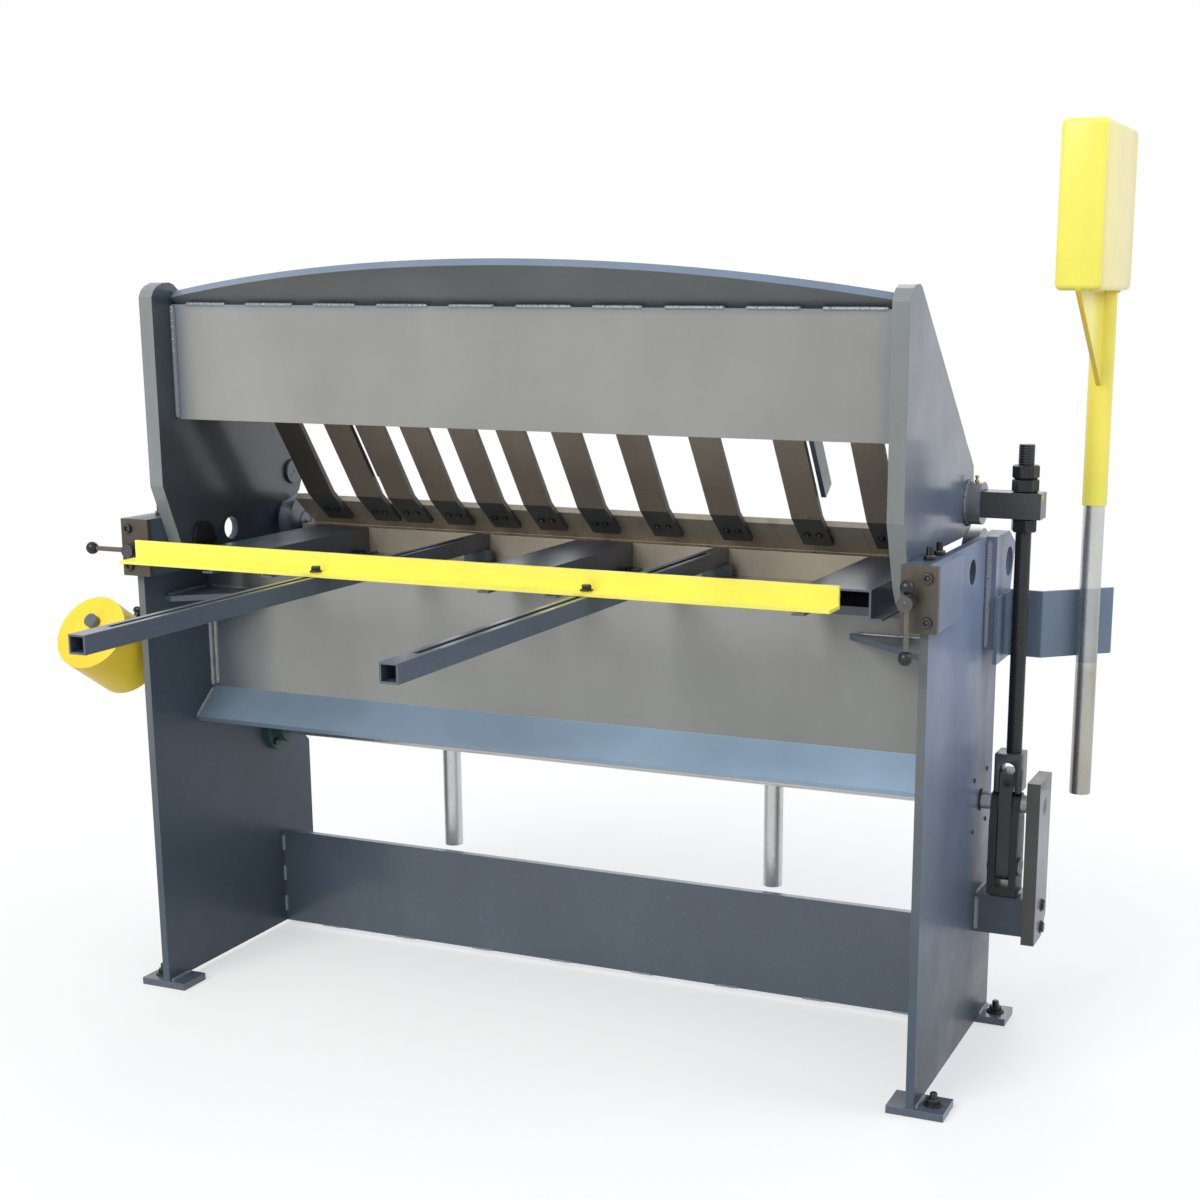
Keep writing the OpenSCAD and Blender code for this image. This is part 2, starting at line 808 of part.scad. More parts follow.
module gauge_stop_bolts() {
  color(black) placed() for (x = [tube_left_x, tube_right_x]) translate([x, bolt_y, 0]) {
    translate([0, 0, gauge_low_z + gauge_t]) hex_head(stop_head_w, stop_head_h);
    translate([0, 0, tube_top_z - tube_wall - stop_nut_t])
      cylinder(h = gauge_low_z + gauge_t - tube_top_z + tube_wall + stop_nut_t, r = tommy_r);
    translate([0, 0, tube_top_z - tube_wall - seat - stop_nut_t]) hex_head(stop_head_w, stop_nut_t);
  }
}

module slide_blocks() {
  color(steel) placed() both_sides() difference() {
    box([guide_x + seat, slide_y, slide_z], [slide_out, slide_y + slide_len, slide_z + slide_h]);
    bar_x(pivot_r + snug, guide_x - over, housing_end, pivot_y, pivot_z);
    bar_y_way(screw_r + seat, slide_y - over, slide_y + plate_t, screw_x, screw_z);
  }
}

module pivot_pins() {
  color(black) placed() both_sides() {
    bar_x(pivot_r, arm_x - head_t - seat, slide_out, pivot_y, pivot_z);
    bar_x(pivot_head_r, arm_x - head_t - seat, arm_x - seat, pivot_y, pivot_z);
  }
}

module setback_screw(turn) {
  difference() {
    union() {
      bar_y_way(screw_r, -screw_back, slide_y + screw_r - over, screw_x, screw_z);
      bar_y_way(hub_r, -screw_back, -screw_back + hub_len, screw_x, screw_z);
    }
    translate([screw_x, -screw_back + hub_len * half, screw_z]) rotate([0, turn, 0])
      translate([0, 0, -tommy_len]) cylinder(h = tommy_len * double_share, r = tommy_r + snug);
  }
}

module tommy_bar(turn) {
  translate([screw_x, -screw_back + hub_len * half, screw_z]) rotate([0, turn, 0])
    translate([0, 0, -tommy_shift - tommy_len * half]) {
    cylinder(h = tommy_len, r = tommy_r);
    sphere(r = ball_r);
    translate([0, 0, tommy_len]) sphere(r = ball_r);
  }
}

module setback_screw_left() {
  color(black) placed() mirror([1, 0, 0]) setback_screw(-quarter_turn);
}

module setback_screw_right() {
  color(black) placed() setback_screw(0);
}

module tommy_bar_left() {
  color(black) placed() mirror([1, 0, 0]) tommy_bar(-quarter_turn);
}

module tommy_bar_right() {
  color(black) placed() tommy_bar(0);
}

module beam_arm() {
  upright(arm_x, arm_t) difference() {
    polygon(concat(
      [for (p = arm_top_shares) [-arm_back, arm_top_z] + p * arm_round],
      [for (p = arm_front_shares) [trunnion_y, trunnion_z] + p * arm_round],
      [[trunnion_y - arm_round * half, arm_low_z], [pivot_y + arm_round * arm_heel_share, arm_low_z]],
      [for (p = arm_pivot_shares) [pivot_y, pivot_z] + p * arm_round],
      [[-arm_back, pivot_z + arm_round * arm_neck_share]]));
    translate([pivot_y, pivot_z]) circle(r = pivot_r + fit);
    translate([trunnion_y, trunnion_z]) circle(r = trunnion_r + snug);
  }
  upright(arm_end, collar_x - arm_end) difference() {
    translate([trunnion_y, trunnion_z]) circle(r = collar_r);
    translate([trunnion_y, trunnion_z]) circle(r = trunnion_r + snug);
  }
}

module beam_arm_left() {
  color(blue_grey) placed() mirror([1, 0, 0]) beam_arm();
}

module beam_arm_right() {
  color(blue_grey) placed() beam_arm();
}

module beam_rear_panel() {
  color(blue_grey) placed()
    box([-arm_x, panel_y, panel_low_z], [arm_x, panel_front, panel_top_z]);
}

module beam_arch_plate() {
  color(blue_grey) placed() translate([0, panel_front, panel_top_z]) rotate([half_turn - arch_slope, 0, 0])
    translate([0, 0, -plate_t]) linear_extrude(plate_t) intersection() {
      translate([-arm_x, -arch_len]) square([arm_x * double_share, arch_len + arch_end + arch_rise]);
      translate([0, arch_end + arch_rise - arch_r]) circle(r = arch_r, $fn = 360);
    }
}

// frame along a strap's upper part: Y runs up the strap, Z towards its front face
module strap_frame() {
  translate([0, strap_bend_y, strap_bend_z]) rotate([quarter_turn + strap_lean, 0, 0]) children();
}

module finger_bar() {
  color(blue_grey) placed() strap_frame() translate([-arm_x, bar_up - bar_len, -strap_t - bar_t - snug])
    cube([arm_x * double_share, bar_len, bar_t]);
}

module beam_ribs() {
  color(blue_grey) placed() for (x = [strap_xs[1], strap_xs[9]])
    strap_frame() translate([x + strap_w * half + rib_gap, rib_low, -strap_t - rib_w])
      cube([rib_t, bar_up - bar_len - rib_low, rib_w]);
}

module strap(x) {
  up = [-sin(strap_lean), cos(strap_lean)];
  down = [sin(strap_tip_lean), -cos(strap_tip_lean)];
  up_out = [cos(strap_lean), sin(strap_lean)];
  down_out = [cos(strap_tip_lean), sin(strap_tip_lean)];
  bend = [strap_bend_y, strap_bend_z];
  mid = (strap_lean + strap_tip_lean) * half;
  miter = strap_t / cos((strap_tip_lean - strap_lean) * half);
  upright(x - strap_w * half, strap_w) polygon([bend, bend + up * strap_up,
    bend + up * strap_up + up_out * strap_t, bend + [cos(mid), sin(mid)] * miter,
    bend + down * strap_down + down_out * strap_t, bend + down * strap_down]);
}

module finger_nose(x_from, width) {
  down_out = [cos(strap_tip_lean), sin(strap_tip_lean)];
  lie = [strap_bend_y, strap_bend_z] + down_out * (strap_t + snug);
  tip_y = bend_y - seat;
  low_z = work_z + seat;
  run = tan(strap_tip_lean);
  low_y = lie[0] + (lie[1] - low_z) * run;
  flat = min(low_y, tip_y - half);
  rise = nose_h + nose_crest;
  upright(x_from + finger_gap * half, width - finger_gap) polygon([[tip_y, low_z], [flat, low_z],
    [flat - nose_h * run, low_z + nose_h], [tip_y - rise + nose_face, low_z + rise],
    [tip_y, low_z + nose_face]]);
}

function nose_start(i) = i == 0 ? fingers_left : nose_start(i - 1) + nose_widths[i - 1];

module finger(i) {
  color(dark_steel) placed() strap(strap_xs[i]);
  color(ground) placed() finger_nose(nose_start(i), nose_widths[i]);
}

module finger_screws() {
  down = [sin(strap_tip_lean), -cos(strap_tip_lean)];
  color(black) placed() for (x = strap_xs) for (s = [32, 60])
    translate([x, strap_bend_y + down[0] * s, strap_bend_z + down[1] * s])
      rotate([quarter_turn + strap_tip_lean, 0, 0]) translate([0, 0, snug])
        cylinder(h = finger_screw_h, r = finger_screw_r);
}

module trunnion_pins() {
  color(dark_steel) placed() both_sides() {
    bar_x(trunnion_r, arm_x - head_t, pin_end, trunnion_y, trunnion_z);
    bar_x(trunnion_head_r, arm_x - head_t, arm_x, trunnion_y, trunnion_z);
  }
}

module trunnion_blocks() {
  w = block_w * half;
  color(blue_grey) placed() both_sides() difference() {
    box([block_start, trunnion_y - w, trunnion_z - w], [block_x, trunnion_y + w, trunnion_z + w]);
    bar_x(trunnion_r + fit, block_start - over, pin_end + seat, trunnion_y, trunnion_z);
    translate([rod_x, trunnion_y, trunnion_z - block_w]) cylinder(h = block_w * double_share, r = rod_r + snug);
  }
}

module tie_rods() {
  color(dark_steel) placed() both_sides() translate([rod_x, trunnion_y, fork_z + fork_h])
    cylinder(h = rod_top_z - fork_z - fork_h, r = rod_r);
}

module rod_nut(z) {
  translate([rod_x, trunnion_y, z]) difference() {
    hex_head(nut_w, nut_h);
    translate([0, 0, -over]) cylinder(h = nut_h + over * double_share, r = rod_r + snug);
  }
}

module tie_rod_nuts() {
  w = block_w * half;
  color(black) placed() both_sides() {
    rod_nut(trunnion_z - w - nut_h);
    rod_nut(trunnion_z + w);
    rod_nut(trunnion_z + w + nut_h);
  }
}

module rod_forks() {
  color(blue_grey) placed() both_sides() difference() {
    box([fork_x, trunnion_y - fork_d * half, fork_z],
      [fork_x + fork_w, trunnion_y + fork_d * half, fork_z + fork_h]);
    box([link_x - snug, trunnion_y - fork_d, fork_z - over],
      [link_x + link_t + snug, trunnion_y + fork_d, link_up_z + snug]);
  }
}

module link_bars() {
  w = link_w * half;
  color(blue_grey) placed() both_sides() upright(link_x, link_t) {
    translate([shaft_y - w, pin_z]) square([link_w, link_up_z - pin_z]);
    translate([shaft_y, pin_z]) circle(r = w);
  }
}

module clamp_shaft() {
  color(steel) placed() bar_x(shaft_r, -crank_x - cheek_t, crank_x + cheek_t, shaft_y, shaft_z);
}

module crank(stub_end) {
  w = crank_w * half;
  low_z = pin_z - crank_tip;
  difference() {
    for (x = [crank_x, crank_end_x - cheek_t]) upright(x, cheek_t) {
      translate([shaft_y, 0]) polygon([[-w, low_z], [w, low_z], [w, pin_z + crank_up],
        [crank_hub_r - over, shaft_z], [over - crank_hub_r, shaft_z], [-w, pin_z + crank_up]]);
      translate([shaft_y, shaft_z]) circle(r = crank_hub_r);
    }
    bar_x(shaft_r + snug, crank_x - over, crank_x + cheek_t + over, shaft_y, shaft_z);
  }
  box([crank_x + cheek_t, shaft_y - w, low_z], [crank_end_x - cheek_t, shaft_y + w, low_z + web_t]);
  bar_x(shaft_r, crank_end_x, stub_end, shaft_y, shaft_z);
  bar_x(pin_cap_r, crank_x - pin_cap_t, crank_x, shaft_y, pin_z);
  bar_x(pin_cap_r, crank_end_x, crank_end_x + pin_cap_t, shaft_y, pin_z);
}

module cranks() {
  color(dark_steel) placed() {
    crank(bearing_x_right + bearing_t);
    mirror([1, 0, 0]) crank(bearing_x_left + bearing_t);
  }
}

// frame along the rear lever: Z runs out along it
module lever_frame() {
  translate([-lever_x, shaft_y, shaft_z]) rotate([quarter_turn - lever_lift, 0, 0]) children();
}

module hand_frame() {
  translate([-lever_x, shaft_y, shaft_z]) rotate([-quarter_turn - hand_drop, 0, 0]) children();
}

module clamp_lever() {
  w = lever_hub_w * half;
  color(steel) placed() difference() {
    union() {
      bar_x(lever_hub_r, -lever_x - w, -lever_x + w, shaft_y, shaft_z);
      lever_frame() cylinder(h = lever_len, r = lever_r);
      hand_frame() cylinder(h = hand_len, r = lever_r);
      hand_frame() translate([0, 0, hand_len - grip_len]) cylinder(h = grip_len, r = grip_r);
    }
    bar_x(shaft_r + snug, -lever_x - lever_hub_w, -lever_x + lever_hub_w, shaft_y, shaft_z);
  }
}

module clamp_counterweight() {
  color(yellow) placed() lever_frame() {
    difference() {
      translate([0, -weight_off, weight_reach - weight_len]) cylinder(h = weight_len, r = weight_r);
      cylinder(h = lever_len, r = lever_r + fit);
    }
    translate([0, weight_r - weight_off - over, weight_reach - weight_len + knob_h]) rotate([-quarter_turn, 0, 0])
      cylinder(h = knob_h, r = knob_r);
  }
}

module apron_leaf() {
  across_y = leaf_front + seat;
  color(blue_grey) placed() {
    box([-leaf_x, leaf_y, leaf_z], [leaf_x, leaf_front, work_z]);
    box([-leaf_x, leaf_front, stiff_z + stiff_h - plate_t], [leaf_x, leaf_front + stiff_d, stiff_z + stiff_h]);
    box([leaf_x, leaf_front + seat + over, stiff_z], [leg_from[0], leaf_front + plate_t, stiff_z + stiff_h]);
    box([leaf_x - plate_t, leaf_front, stiff_z], [leaf_x, leaf_front + stiff_d, stiff_z + stiff_h]);
    box([ear_end + strip_t + over, strip_path[1][1] + strip_t * half, stiff_z],
      [leg_from[0] - over, leaf_front + seat + over, stiff_z + stiff_h]);
  }
}

module apron_lugs() {
  color(blue_grey) placed() both_sides() {
    difference() {
      upright(lug_x, lug_t) {
        translate([bend_y, hinge_z]) circle(r = lug_r);
        translate([leaf_y, leaf_z]) square([leaf_t, leaf_h]);
      }
      bar_x(hinge_r + snug, lug_x - over, lug_x + lug_t + over, bend_y, hinge_z);
    }
    bar_x(hinge_r, lug_x, ear_end - recess_d, bend_y, hinge_z);
  }
}

module apron_handle(x) {
  translate([x, handle_y, handle_z]) difference() {
    cylinder(h = handle_top_z - handle_z, r = pipe_r);
    translate([0, 0, -over])
      cylinder(h = handle_top_z - handle_z + over * double_share, r = pipe_r - pipe_wall);
  }
}

module apron_handles() {
  color(galvanised) placed() {
    apron_handle(handle_left_x);
    apron_handle(handle_right_x);
  }
}

module strip_leg(a, b) {
  run = norm(b - a);
  side = [a[1] - b[1], b[0] - a[0]] * strip_t * half / run;
  polygon([a + side, b + side, b - side, a - side]);
}

module weight_bracket() {
  w = strip_t * half;
  color(galvanised) placed() {
    translate([0, 0, strip_z]) linear_extrude(strip_h) {
      for (i = [0, 1, 2]) strip_leg(strip_path[i], strip_path[i + 1]);
      for (i = [1, 2]) translate(strip_path[i]) circle(r = w);
    }
    translate([post_at[0], post_at[1], post_low_z]) difference() {
      cylinder(h = post_top_z - post_low_z, r = pipe_r);
      translate([0, 0, -over]) cylinder(h = post_top_z, r = pipe_r - pipe_wall);
    }
  }
}

module weight_box() {
  w = box_w * half;
  fin_y = post_at[1] - sleeve_r + half;
  color(yellow) placed() {
    difference() {
      union() {
        difference() {
          box([post_at[0] - w, box_y, box_z], [post_at[0] + w, box_y + box_d, box_z + box_h]);
          box([post_at[0] - w + box_wall, box_y + box_wall, box_z + box_wall],
            [post_at[0] + w - box_wall, box_y + box_d - box_wall, box_z + box_h - box_wall]);
        }
        translate([post_at[0], post_at[1], sleeve_z])
          cylinder(h = box_z + box_h * half - sleeve_z, r = sleeve_r);
        upright(post_at[0] - fin_t * half, fin_t)
          polygon([[box_y, box_z], [fin_y, box_z], [fin_y, box_z - fin_drop]]);
      }
      translate([post_at[0], post_at[1], sleeve_z - over])
        cylinder(h = box_z + box_h * half - sleeve_z, r = sleeve_r - sleeve_wall);
    }
  }
}

left_side_plate();
right_side_plate();
foot_pads();
bed_plate();
bed_nose_bar();
bed_fasteners();
bed_gussets();
lower_crossbar();
guide_housings();
guide_end_blocks();
guide_hardware();
shaft_bearings();
hinge_ears();
outer_bearing_plates();
bearing_brackets();
bearing_bolts();
table_supports();
gauge_tubes();
gauge_tube_brackets();
gauge_stop();
gauge_stop_bolts();
slide_blocks();
pivot_pins();
setback_screw_left();
setback_screw_right();
tommy_bar_left();
tommy_bar_right();
beam_arm_left();
beam_arm_right();
beam_rear_panel();
beam_arch_plate();
finger_bar();
beam_ribs();
finger(0);  // finger_01
finger(1);  // finger_02
finger(2);  // finger_03
finger(3);  // finger_04
finger(4);  // finger_05
finger(5);  // finger_06
finger(6);  // finger_07
finger(7);  // finger_08
finger(8);  // finger_09
finger(9);  // finger_10
finger(10);  // finger_11
finger_screws();
trunnion_pins();
trunnion_blocks();
tie_rods();
tie_rod_nuts();
rod_forks();
link_bars();
clamp_shaft();
cranks();
clamp_lever();
clamp_counterweight();
apron_leaf();
apron_lugs();
apron_handles();
weight_bracket();
weight_box();
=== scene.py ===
import json
import math

import bmesh
import bpy
import numpy as np
from mathutils import Matrix, Vector


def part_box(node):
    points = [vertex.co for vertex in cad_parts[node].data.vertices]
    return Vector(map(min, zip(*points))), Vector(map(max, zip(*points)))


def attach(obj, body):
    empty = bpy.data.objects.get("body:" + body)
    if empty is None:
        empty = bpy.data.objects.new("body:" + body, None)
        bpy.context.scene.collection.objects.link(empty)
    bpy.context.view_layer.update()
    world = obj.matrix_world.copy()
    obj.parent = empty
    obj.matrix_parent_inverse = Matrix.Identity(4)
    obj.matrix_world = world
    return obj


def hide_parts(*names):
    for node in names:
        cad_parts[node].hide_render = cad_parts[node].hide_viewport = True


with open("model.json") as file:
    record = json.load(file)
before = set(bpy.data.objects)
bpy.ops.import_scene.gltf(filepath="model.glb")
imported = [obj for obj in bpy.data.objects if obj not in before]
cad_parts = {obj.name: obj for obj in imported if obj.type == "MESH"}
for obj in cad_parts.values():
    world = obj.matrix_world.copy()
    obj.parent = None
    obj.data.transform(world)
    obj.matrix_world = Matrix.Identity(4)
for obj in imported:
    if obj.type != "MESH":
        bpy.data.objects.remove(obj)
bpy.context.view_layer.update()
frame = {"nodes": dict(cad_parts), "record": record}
rng = np.random.default_rng(7)

MM = 0.001
REAR = round(-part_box("left_side_plate")[0][1], 6)  # from the rear edge of the side plates to the origin
SIDES = (-1, 1)  # left and right of the machine along X
UP, DOWN, BACK = (0, 0, 1), (0, 0, -1), (0, -1, 0)


def at(x, y, z):
    """A point in millimetres, Y from the rear edge of the side plates, as row-frame metres."""
    return Vector((x * MM, y * MM - REAR, z * MM))


def corners(node):
    """A node's lowest and highest corners in millimetres, Y from the rear edge of the side plates."""
    shift = (0, REAR / MM, 0)
    return [[round(v / MM + s, 2) for v, s in zip(corner, shift)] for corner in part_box(node)]


def middle(node):
    """The middle of a node's box in millimetres."""
    low, high = corners(node)
    return [(a + b) / 2 for a, b in zip(low, high)]


# Places read from the frame, in millimetres
(plate_in, _, pad_top), (plate_out, _, plate_top) = corners("right_side_plate")
(_, panel_rear, panel_low), (panel_end, panel_front, panel_top) = corners("beam_rear_panel")
(_, bar_rear, _), (_, _, bar_top) = corners("bed_nose_bar")
(_, block_rear, _), _ = corners("guide_end_blocks")
(_, _, housing_low), (_, housing_front, _) = corners("guide_housings")
(_, ear_rear, ear_low), _ = corners("hinge_ears")
(_, bracket_rear, bracket_low), (_, bracket_front, bracket_top) = corners("bearing_brackets")
(_, crossbar_rear, _), _ = corners("lower_crossbar")
_, (_, gusset_front, gusset_top) = corners("bed_gussets")
(left_bearing_x, _, _), (right_bearing_x, _, _) = corners("outer_bearing_plates")
(_, _, nut_low), (nut_out, _, nut_top) = corners("tie_rod_nuts")
(_, _, rod_low), (rod_out, _, rod_top) = corners("tie_rods")
(_, _, block_low), (block_end, _, block_top) = corners("trunnion_blocks")
(_, fork_rear, fork_low), (fork_out, fork_front, fork_top) = corners("rod_forks")
(_, link_rear, _), (link_out, _, link_top) = corners("link_bars")
(left_tube_x, _, _), (right_tube_x, _, _) = corners("gauge_tubes")
(_, _, sleeve_low), _ = corners("weight_box")
(left_bar_out, _, _), (left_bar_in, _, _) = corners("tommy_bar_left")
(_, _, right_bar_low), (_, _, right_bar_top) = corners("tommy_bar_right")
hub_rear = corners("setback_screw_right")[0][1]
screw_x, tommy_y, _ = middle("tommy_bar_right")
screw_z = middle("tommy_bar_left")[2]
_, trunnion_y, trunnion_z = middle("trunnion_blocks")
_, pivot_y, pivot_z = middle("pivot_pins")
_, shaft_y, shaft_z = middle("clamp_shaft")
_, stop_y, _ = middle("gauge_stop")

# Places that no box of the frame gives, in millimetres
ROD_R = 12.0
LINK_HALF = 10.0
TUBE_HALF = 12.7
BALL_SEAT_R = 8.0
POST_X, POST_Y = 815.0, 445.8
BOX_LOW = 1191.0
BEND_Y, BEND_Z = 322, 835
HINGE_Y, HINGE_Z = 418, 773
GUIDE_SCREW_X = 676
GUIDE_SCREW_Z = (744, 806)
STUD_X = 660
STUD_Y = (48.6, 102.7)
STRAP_SHARES = (-0.859, -0.696, -0.591, -0.453, -0.304, -0.157, 0.008, 0.196, 0.399, 0.6285, 0.833)
rod_x = rod_out - ROD_R
strap_x = [share * panel_end for share in STRAP_SHARES]

# Directions of the lower strap legs in Y and Z: outward from their face, and down their length
LEAN = (0.621, 0.784)
DOWN_STRAP = (0.7837, -0.6211)

# Colours
BLUE = (0.070, 0.094, 0.128)
# Side plates' outer faces: painted shade towards the bottom and painted bluish sky light towards the top
BLUE_SHADED_LOW = (0.045, 0.059, 0.08)
BLUE_LIT = (0.2, 0.238, 0.345)
# Side plates' rear edges: painted light, paler and greyer than the enamel, fading to painted shade lower down
PLATE_EDGE_SHADED_LOW = (0.075, 0.098, 0.13)
PLATE_EDGE_LIT = (0.15, 0.165, 0.165)
# Bed lip: painted sky reflection, a painted highlight towards the right and painted shade towards the left
LIP_SKY_SHEEN = (0.27, 0.37, 0.49)
LIP_HIGHLIGHT = (0.46, 0.64, 0.85)
LIP_SHADE = (0.12, 0.165, 0.21)
WARM = (0.285, 0.285, 0.27)
# painted shade towards the left end of the bed panel
WARM_SHADE = (0.1, 0.125, 0.15)
# Rear panel: painted bluish light beside the arms and along the welded top edge
PANEL_RIM_LIT = (0.17, 0.215, 0.27)
ARM = (0.1, 0.128, 0.19)
# Beam: painted shade on the arms' inner faces, painted light on their rear edges and painted sky light on the
# arch's upward faces
ARM_INNER_SHADE = (0.042, 0.056, 0.07)
ARM_EDGE_LIT = (0.2, 0.218, 0.22)
ARCH = (0.14, 0.153, 0.157)
ARCH_TOP_LIT = (0.15, 0.2, 0.28)
# Outer bearing plates: painted sky light on the broad faces and painted shade on the edges
BEARING_FACE_LIT = (0.095, 0.118, 0.16)
BEARING_EDGE_SHADE = (0.058, 0.055, 0.052)
TOMMY = (0.17, 0.155, 0.14)
TOMMY_BALL = (0.012, 0.013, 0.016)
CRANK = (0.055, 0.054, 0.054)
CRANK_STUB = (0.62, 0.61, 0.6)
STRAP = (0.38, 0.31, 0.24)
# STRAP_SHADE: painted shade on the straps' side faces and over the first strap
STRAP_SHADE = (0.07, 0.064, 0.058)
STRAP_LOW = (0.15, 0.145, 0.14)
NOSE = (0.62, 0.55, 0.45)
YELLOW = (0.97, 0.885, 0.12)
# Yellow: painted sky sheen on the box's side, painted shade on the sleeve and on the gusset's downward edge
BOX_SIDE_SHEEN = (1.0, 0.825, 0.27)
SLEEVE_SHADED = (1.0, 0.845, 0.12)
GUSSET_UNDERSIDE_SHADE = (1.0, 0.66, 0.05)
ZINC = (0.66, 0.67, 0.65)
ZINC_OLD = (0.36, 0.33, 0.25)
ZINC_STREAK = (0.34, 0.31, 0.23)
STRIP = (0.18, 0.235, 0.31)
OVERSPRAY = (0.2, 0.23, 0.26)
PAINT_EDGE_R = 0.0012


def grey(k):
    return (k, k, k)


# Materials
class Nodes:
    """One material's node tree, with short calls for the nodes that the materials share."""

    def __init__(self, name):
        self.mat = bpy.data.materials.new(name)
        self.mat.use_nodes = True
        self.tree = self.mat.node_tree
        self.bsdf = self.tree.nodes["Principled BSDF"]
        self.texture = self.tree.nodes.new("ShaderNodeTexCoord")
        self.coord = self.texture.outputs["Object"]

    def new(self, kind, **values):
        """A node whose sockets, or else properties, take the given values."""
        node = self.tree.nodes.new(kind)
        for key, value in values.items():
            if key in node.inputs:
                node.inputs[key].default_value = value
            else:
                setattr(node, key, value)
        return node

    def link(self, a, b):
        self.tree.links.new(a, b)

    def put(self, socket, value):
        """Set a socket to a colour or number, or link it to an output."""
        if isinstance(value, tuple):
            socket.default_value = (*value, 1.0)
        elif isinstance(value, (int, float)):
            socket.default_value = value
        else:
            self.link(value, socket)

    def noise(self, scale, detail=4.0, rough=0.5, stretch=None):
        noise = self.new("ShaderNodeTexNoise", Scale=scale, Detail=detail, Roughness=rough)
        source = self.coord
        if stretch:
            mapping = self.new("ShaderNodeMapping", Scale=stretch)
            self.link(self.coord, mapping.inputs["Vector"])
            source = mapping.outputs["Vector"]
        self.link(source, noise.inputs["Vector"])
        return noise.outputs["Fac"]

    def mix(self, fac, a, b, blend="MIX"):
        mix = self.new("ShaderNodeMix", data_type="RGBA", blend_type=blend)
        self.put(mix.inputs["Factor"], fac)
        self.put(mix.inputs["A"], a)
        self.put(mix.inputs["B"], b)
        return mix.outputs["Result"]

    def remap(self, fac, source, target):
        """A value carried from the source range to the target range, held at its ends."""
        ranged = self.new("ShaderNodeMapRange")
        for key, value in zip(("From Min", "From Max", "To Min", "To Max"), (*source, *target)):
            ranged.inputs[key].default_value = value
        self.link(fac, ranged.inputs["Value"])
        return ranged.outputs["Result"]

    def math(self, operation, a, b=0.0):
        node = self.new("ShaderNodeMath", operation=operation)
        self.put(node.inputs[0], a)
        self.put(node.inputs[1], b)
        return node.outputs["Value"]

    def above(self, value, limit):
        return self.math("GREATER_THAN", value, limit)

    def below(self, value, limit):
        return self.math("LESS_THAN", value, limit)

    def times(self, a, b):
        """A product, which is also the meeting of two masks."""
        return self.math("MULTIPLY", a, b)

    def either(self, a, b):
        return self.math("MAXIMUM", a, b)

    def size(self, value):
        return self.math("ABSOLUTE", value)

    def length(self, a, b):
        return self.math("SQRT", self.math("ADD", self.times(a, a), self.times(b, b)))

    def between(self, value, low, high):
        return self.times(self.above(value, low), self.below(value, high))

    def split(self, vector):
        parts = self.new("ShaderNodeSeparateXYZ")
        self.link(vector, parts.inputs["Vector"])
        return parts.outputs["X"], parts.outputs["Y"], parts.outputs["Z"]

    def place(self):
        """Object X, Y and Z in metres."""
        return self.split(self.coord)

    def facing(self):
        """X, Y and Z of the surface normal in object space."""
        return self.split(self.texture.outputs["Normal"])

    def edge(self, radius):
        """0 on flats to 1 on worn outer edges, and the softened normal."""
        bevel = self.new("ShaderNodeBevel", samples=4, Radius=radius)
        geometry = self.new("ShaderNodeNewGeometry")
        dot = self.new("ShaderNodeVectorMath", operation="DOT_PRODUCT")
        self.link(bevel.outputs["Normal"], dot.inputs[0])
        self.link(geometry.outputs["Normal"], dot.inputs[1])
        return self.remap(dot.outputs["Value"], (1.0, 0.8), (0.0, 1.0)), bevel.outputs["Normal"]

    def bump(self, heights, normal):
        """Bumps of (height, strength, distance), one over the other, on the given normal."""
        for height, strength, distance in heights:
            bump = self.new("ShaderNodeBump", Strength=strength, Distance=distance)
            self.link(height, bump.inputs["Height"])
            self.link(normal, bump.inputs["Normal"])
            normal = bump.outputs["Normal"]
        self.link(normal, self.bsdf.inputs["Normal"])


def cloudy(n, colour, fac, darkest, palest):
    """The colour made darker and paler in patches."""
    ramp = n.new("ShaderNodeValToRGB")
    for stop, position, tone in zip(ramp.color_ramp.elements, (0.3, 0.7), (darkest, palest)):
        stop.position = position
        stop.color = (*grey(tone), 1.0)
    n.link(fac, ramp.inputs["Fac"])
    return n.mix(1.0, colour, ramp.outputs["Color"], "MULTIPLY")


def paint(name, colour, rough=0.42, worn=(0.3, 0.32, 0.34), coat=0.15, peel=0.25,
          dust=(0.3, 0.32, 0.33), region=None, wear=0.55, gloss=0.5):
    """Sprayed enamel: cloudy colour, orange peel, paler worn edges, dull dusty specks and patches."""
    n = Nodes(name)
    base = region(n) if region else colour
    clouds = n.noise(scale=3.2, detail=6, rough=0.55)
    base = cloudy(n, base, clouds, 0.88, 1.12)
    runs = n.noise(scale=9, detail=5, rough=0.6, stretch=(1, 1, 0.25))
    base = cloudy(n, base, runs, 0.94, 1.05)
    specks = n.noise(scale=160, detail=3, rough=0.6)
    base = n.mix(n.remap(specks, (0.62, 0.72), (0.0, 0.16)), base, dust)
    patches = n.noise(scale=4.5, detail=8, rough=0.68)
    base = n.mix(n.remap(patches, (0.56, 0.8), (0.0, 0.14)), base, dust)
    edge, normal = n.edge(PAINT_EDGE_R)
    scuff = n.remap(n.noise(scale=55, detail=5, rough=0.7), (0.35, 0.65), (0.2, 1.0))
    base = n.mix(n.times(n.times(edge, scuff), wear), base, worn)
    n.link(base, n.bsdf.inputs["Base Color"])
    dull = n.noise(scale=7, detail=5, rough=0.6)
    n.link(n.remap(dull, (0.3, 0.7), (rough - 0.1, rough + 0.12)), n.bsdf.inputs["Roughness"])
    n.bsdf.inputs["Specular IOR Level"].default_value = gloss
    n.bsdf.inputs["Coat Weight"].default_value = coat
    n.bsdf.inputs["Coat Roughness"].default_value = 0.16
    orange_peel = n.noise(scale=420, detail=2, rough=0.5)
    waves = n.noise(scale=18, detail=3, rough=0.5)
    n.bump([(orange_peel, peel, 0.0004), (waves, 0.12, 0.002)], normal)
    return n.mat


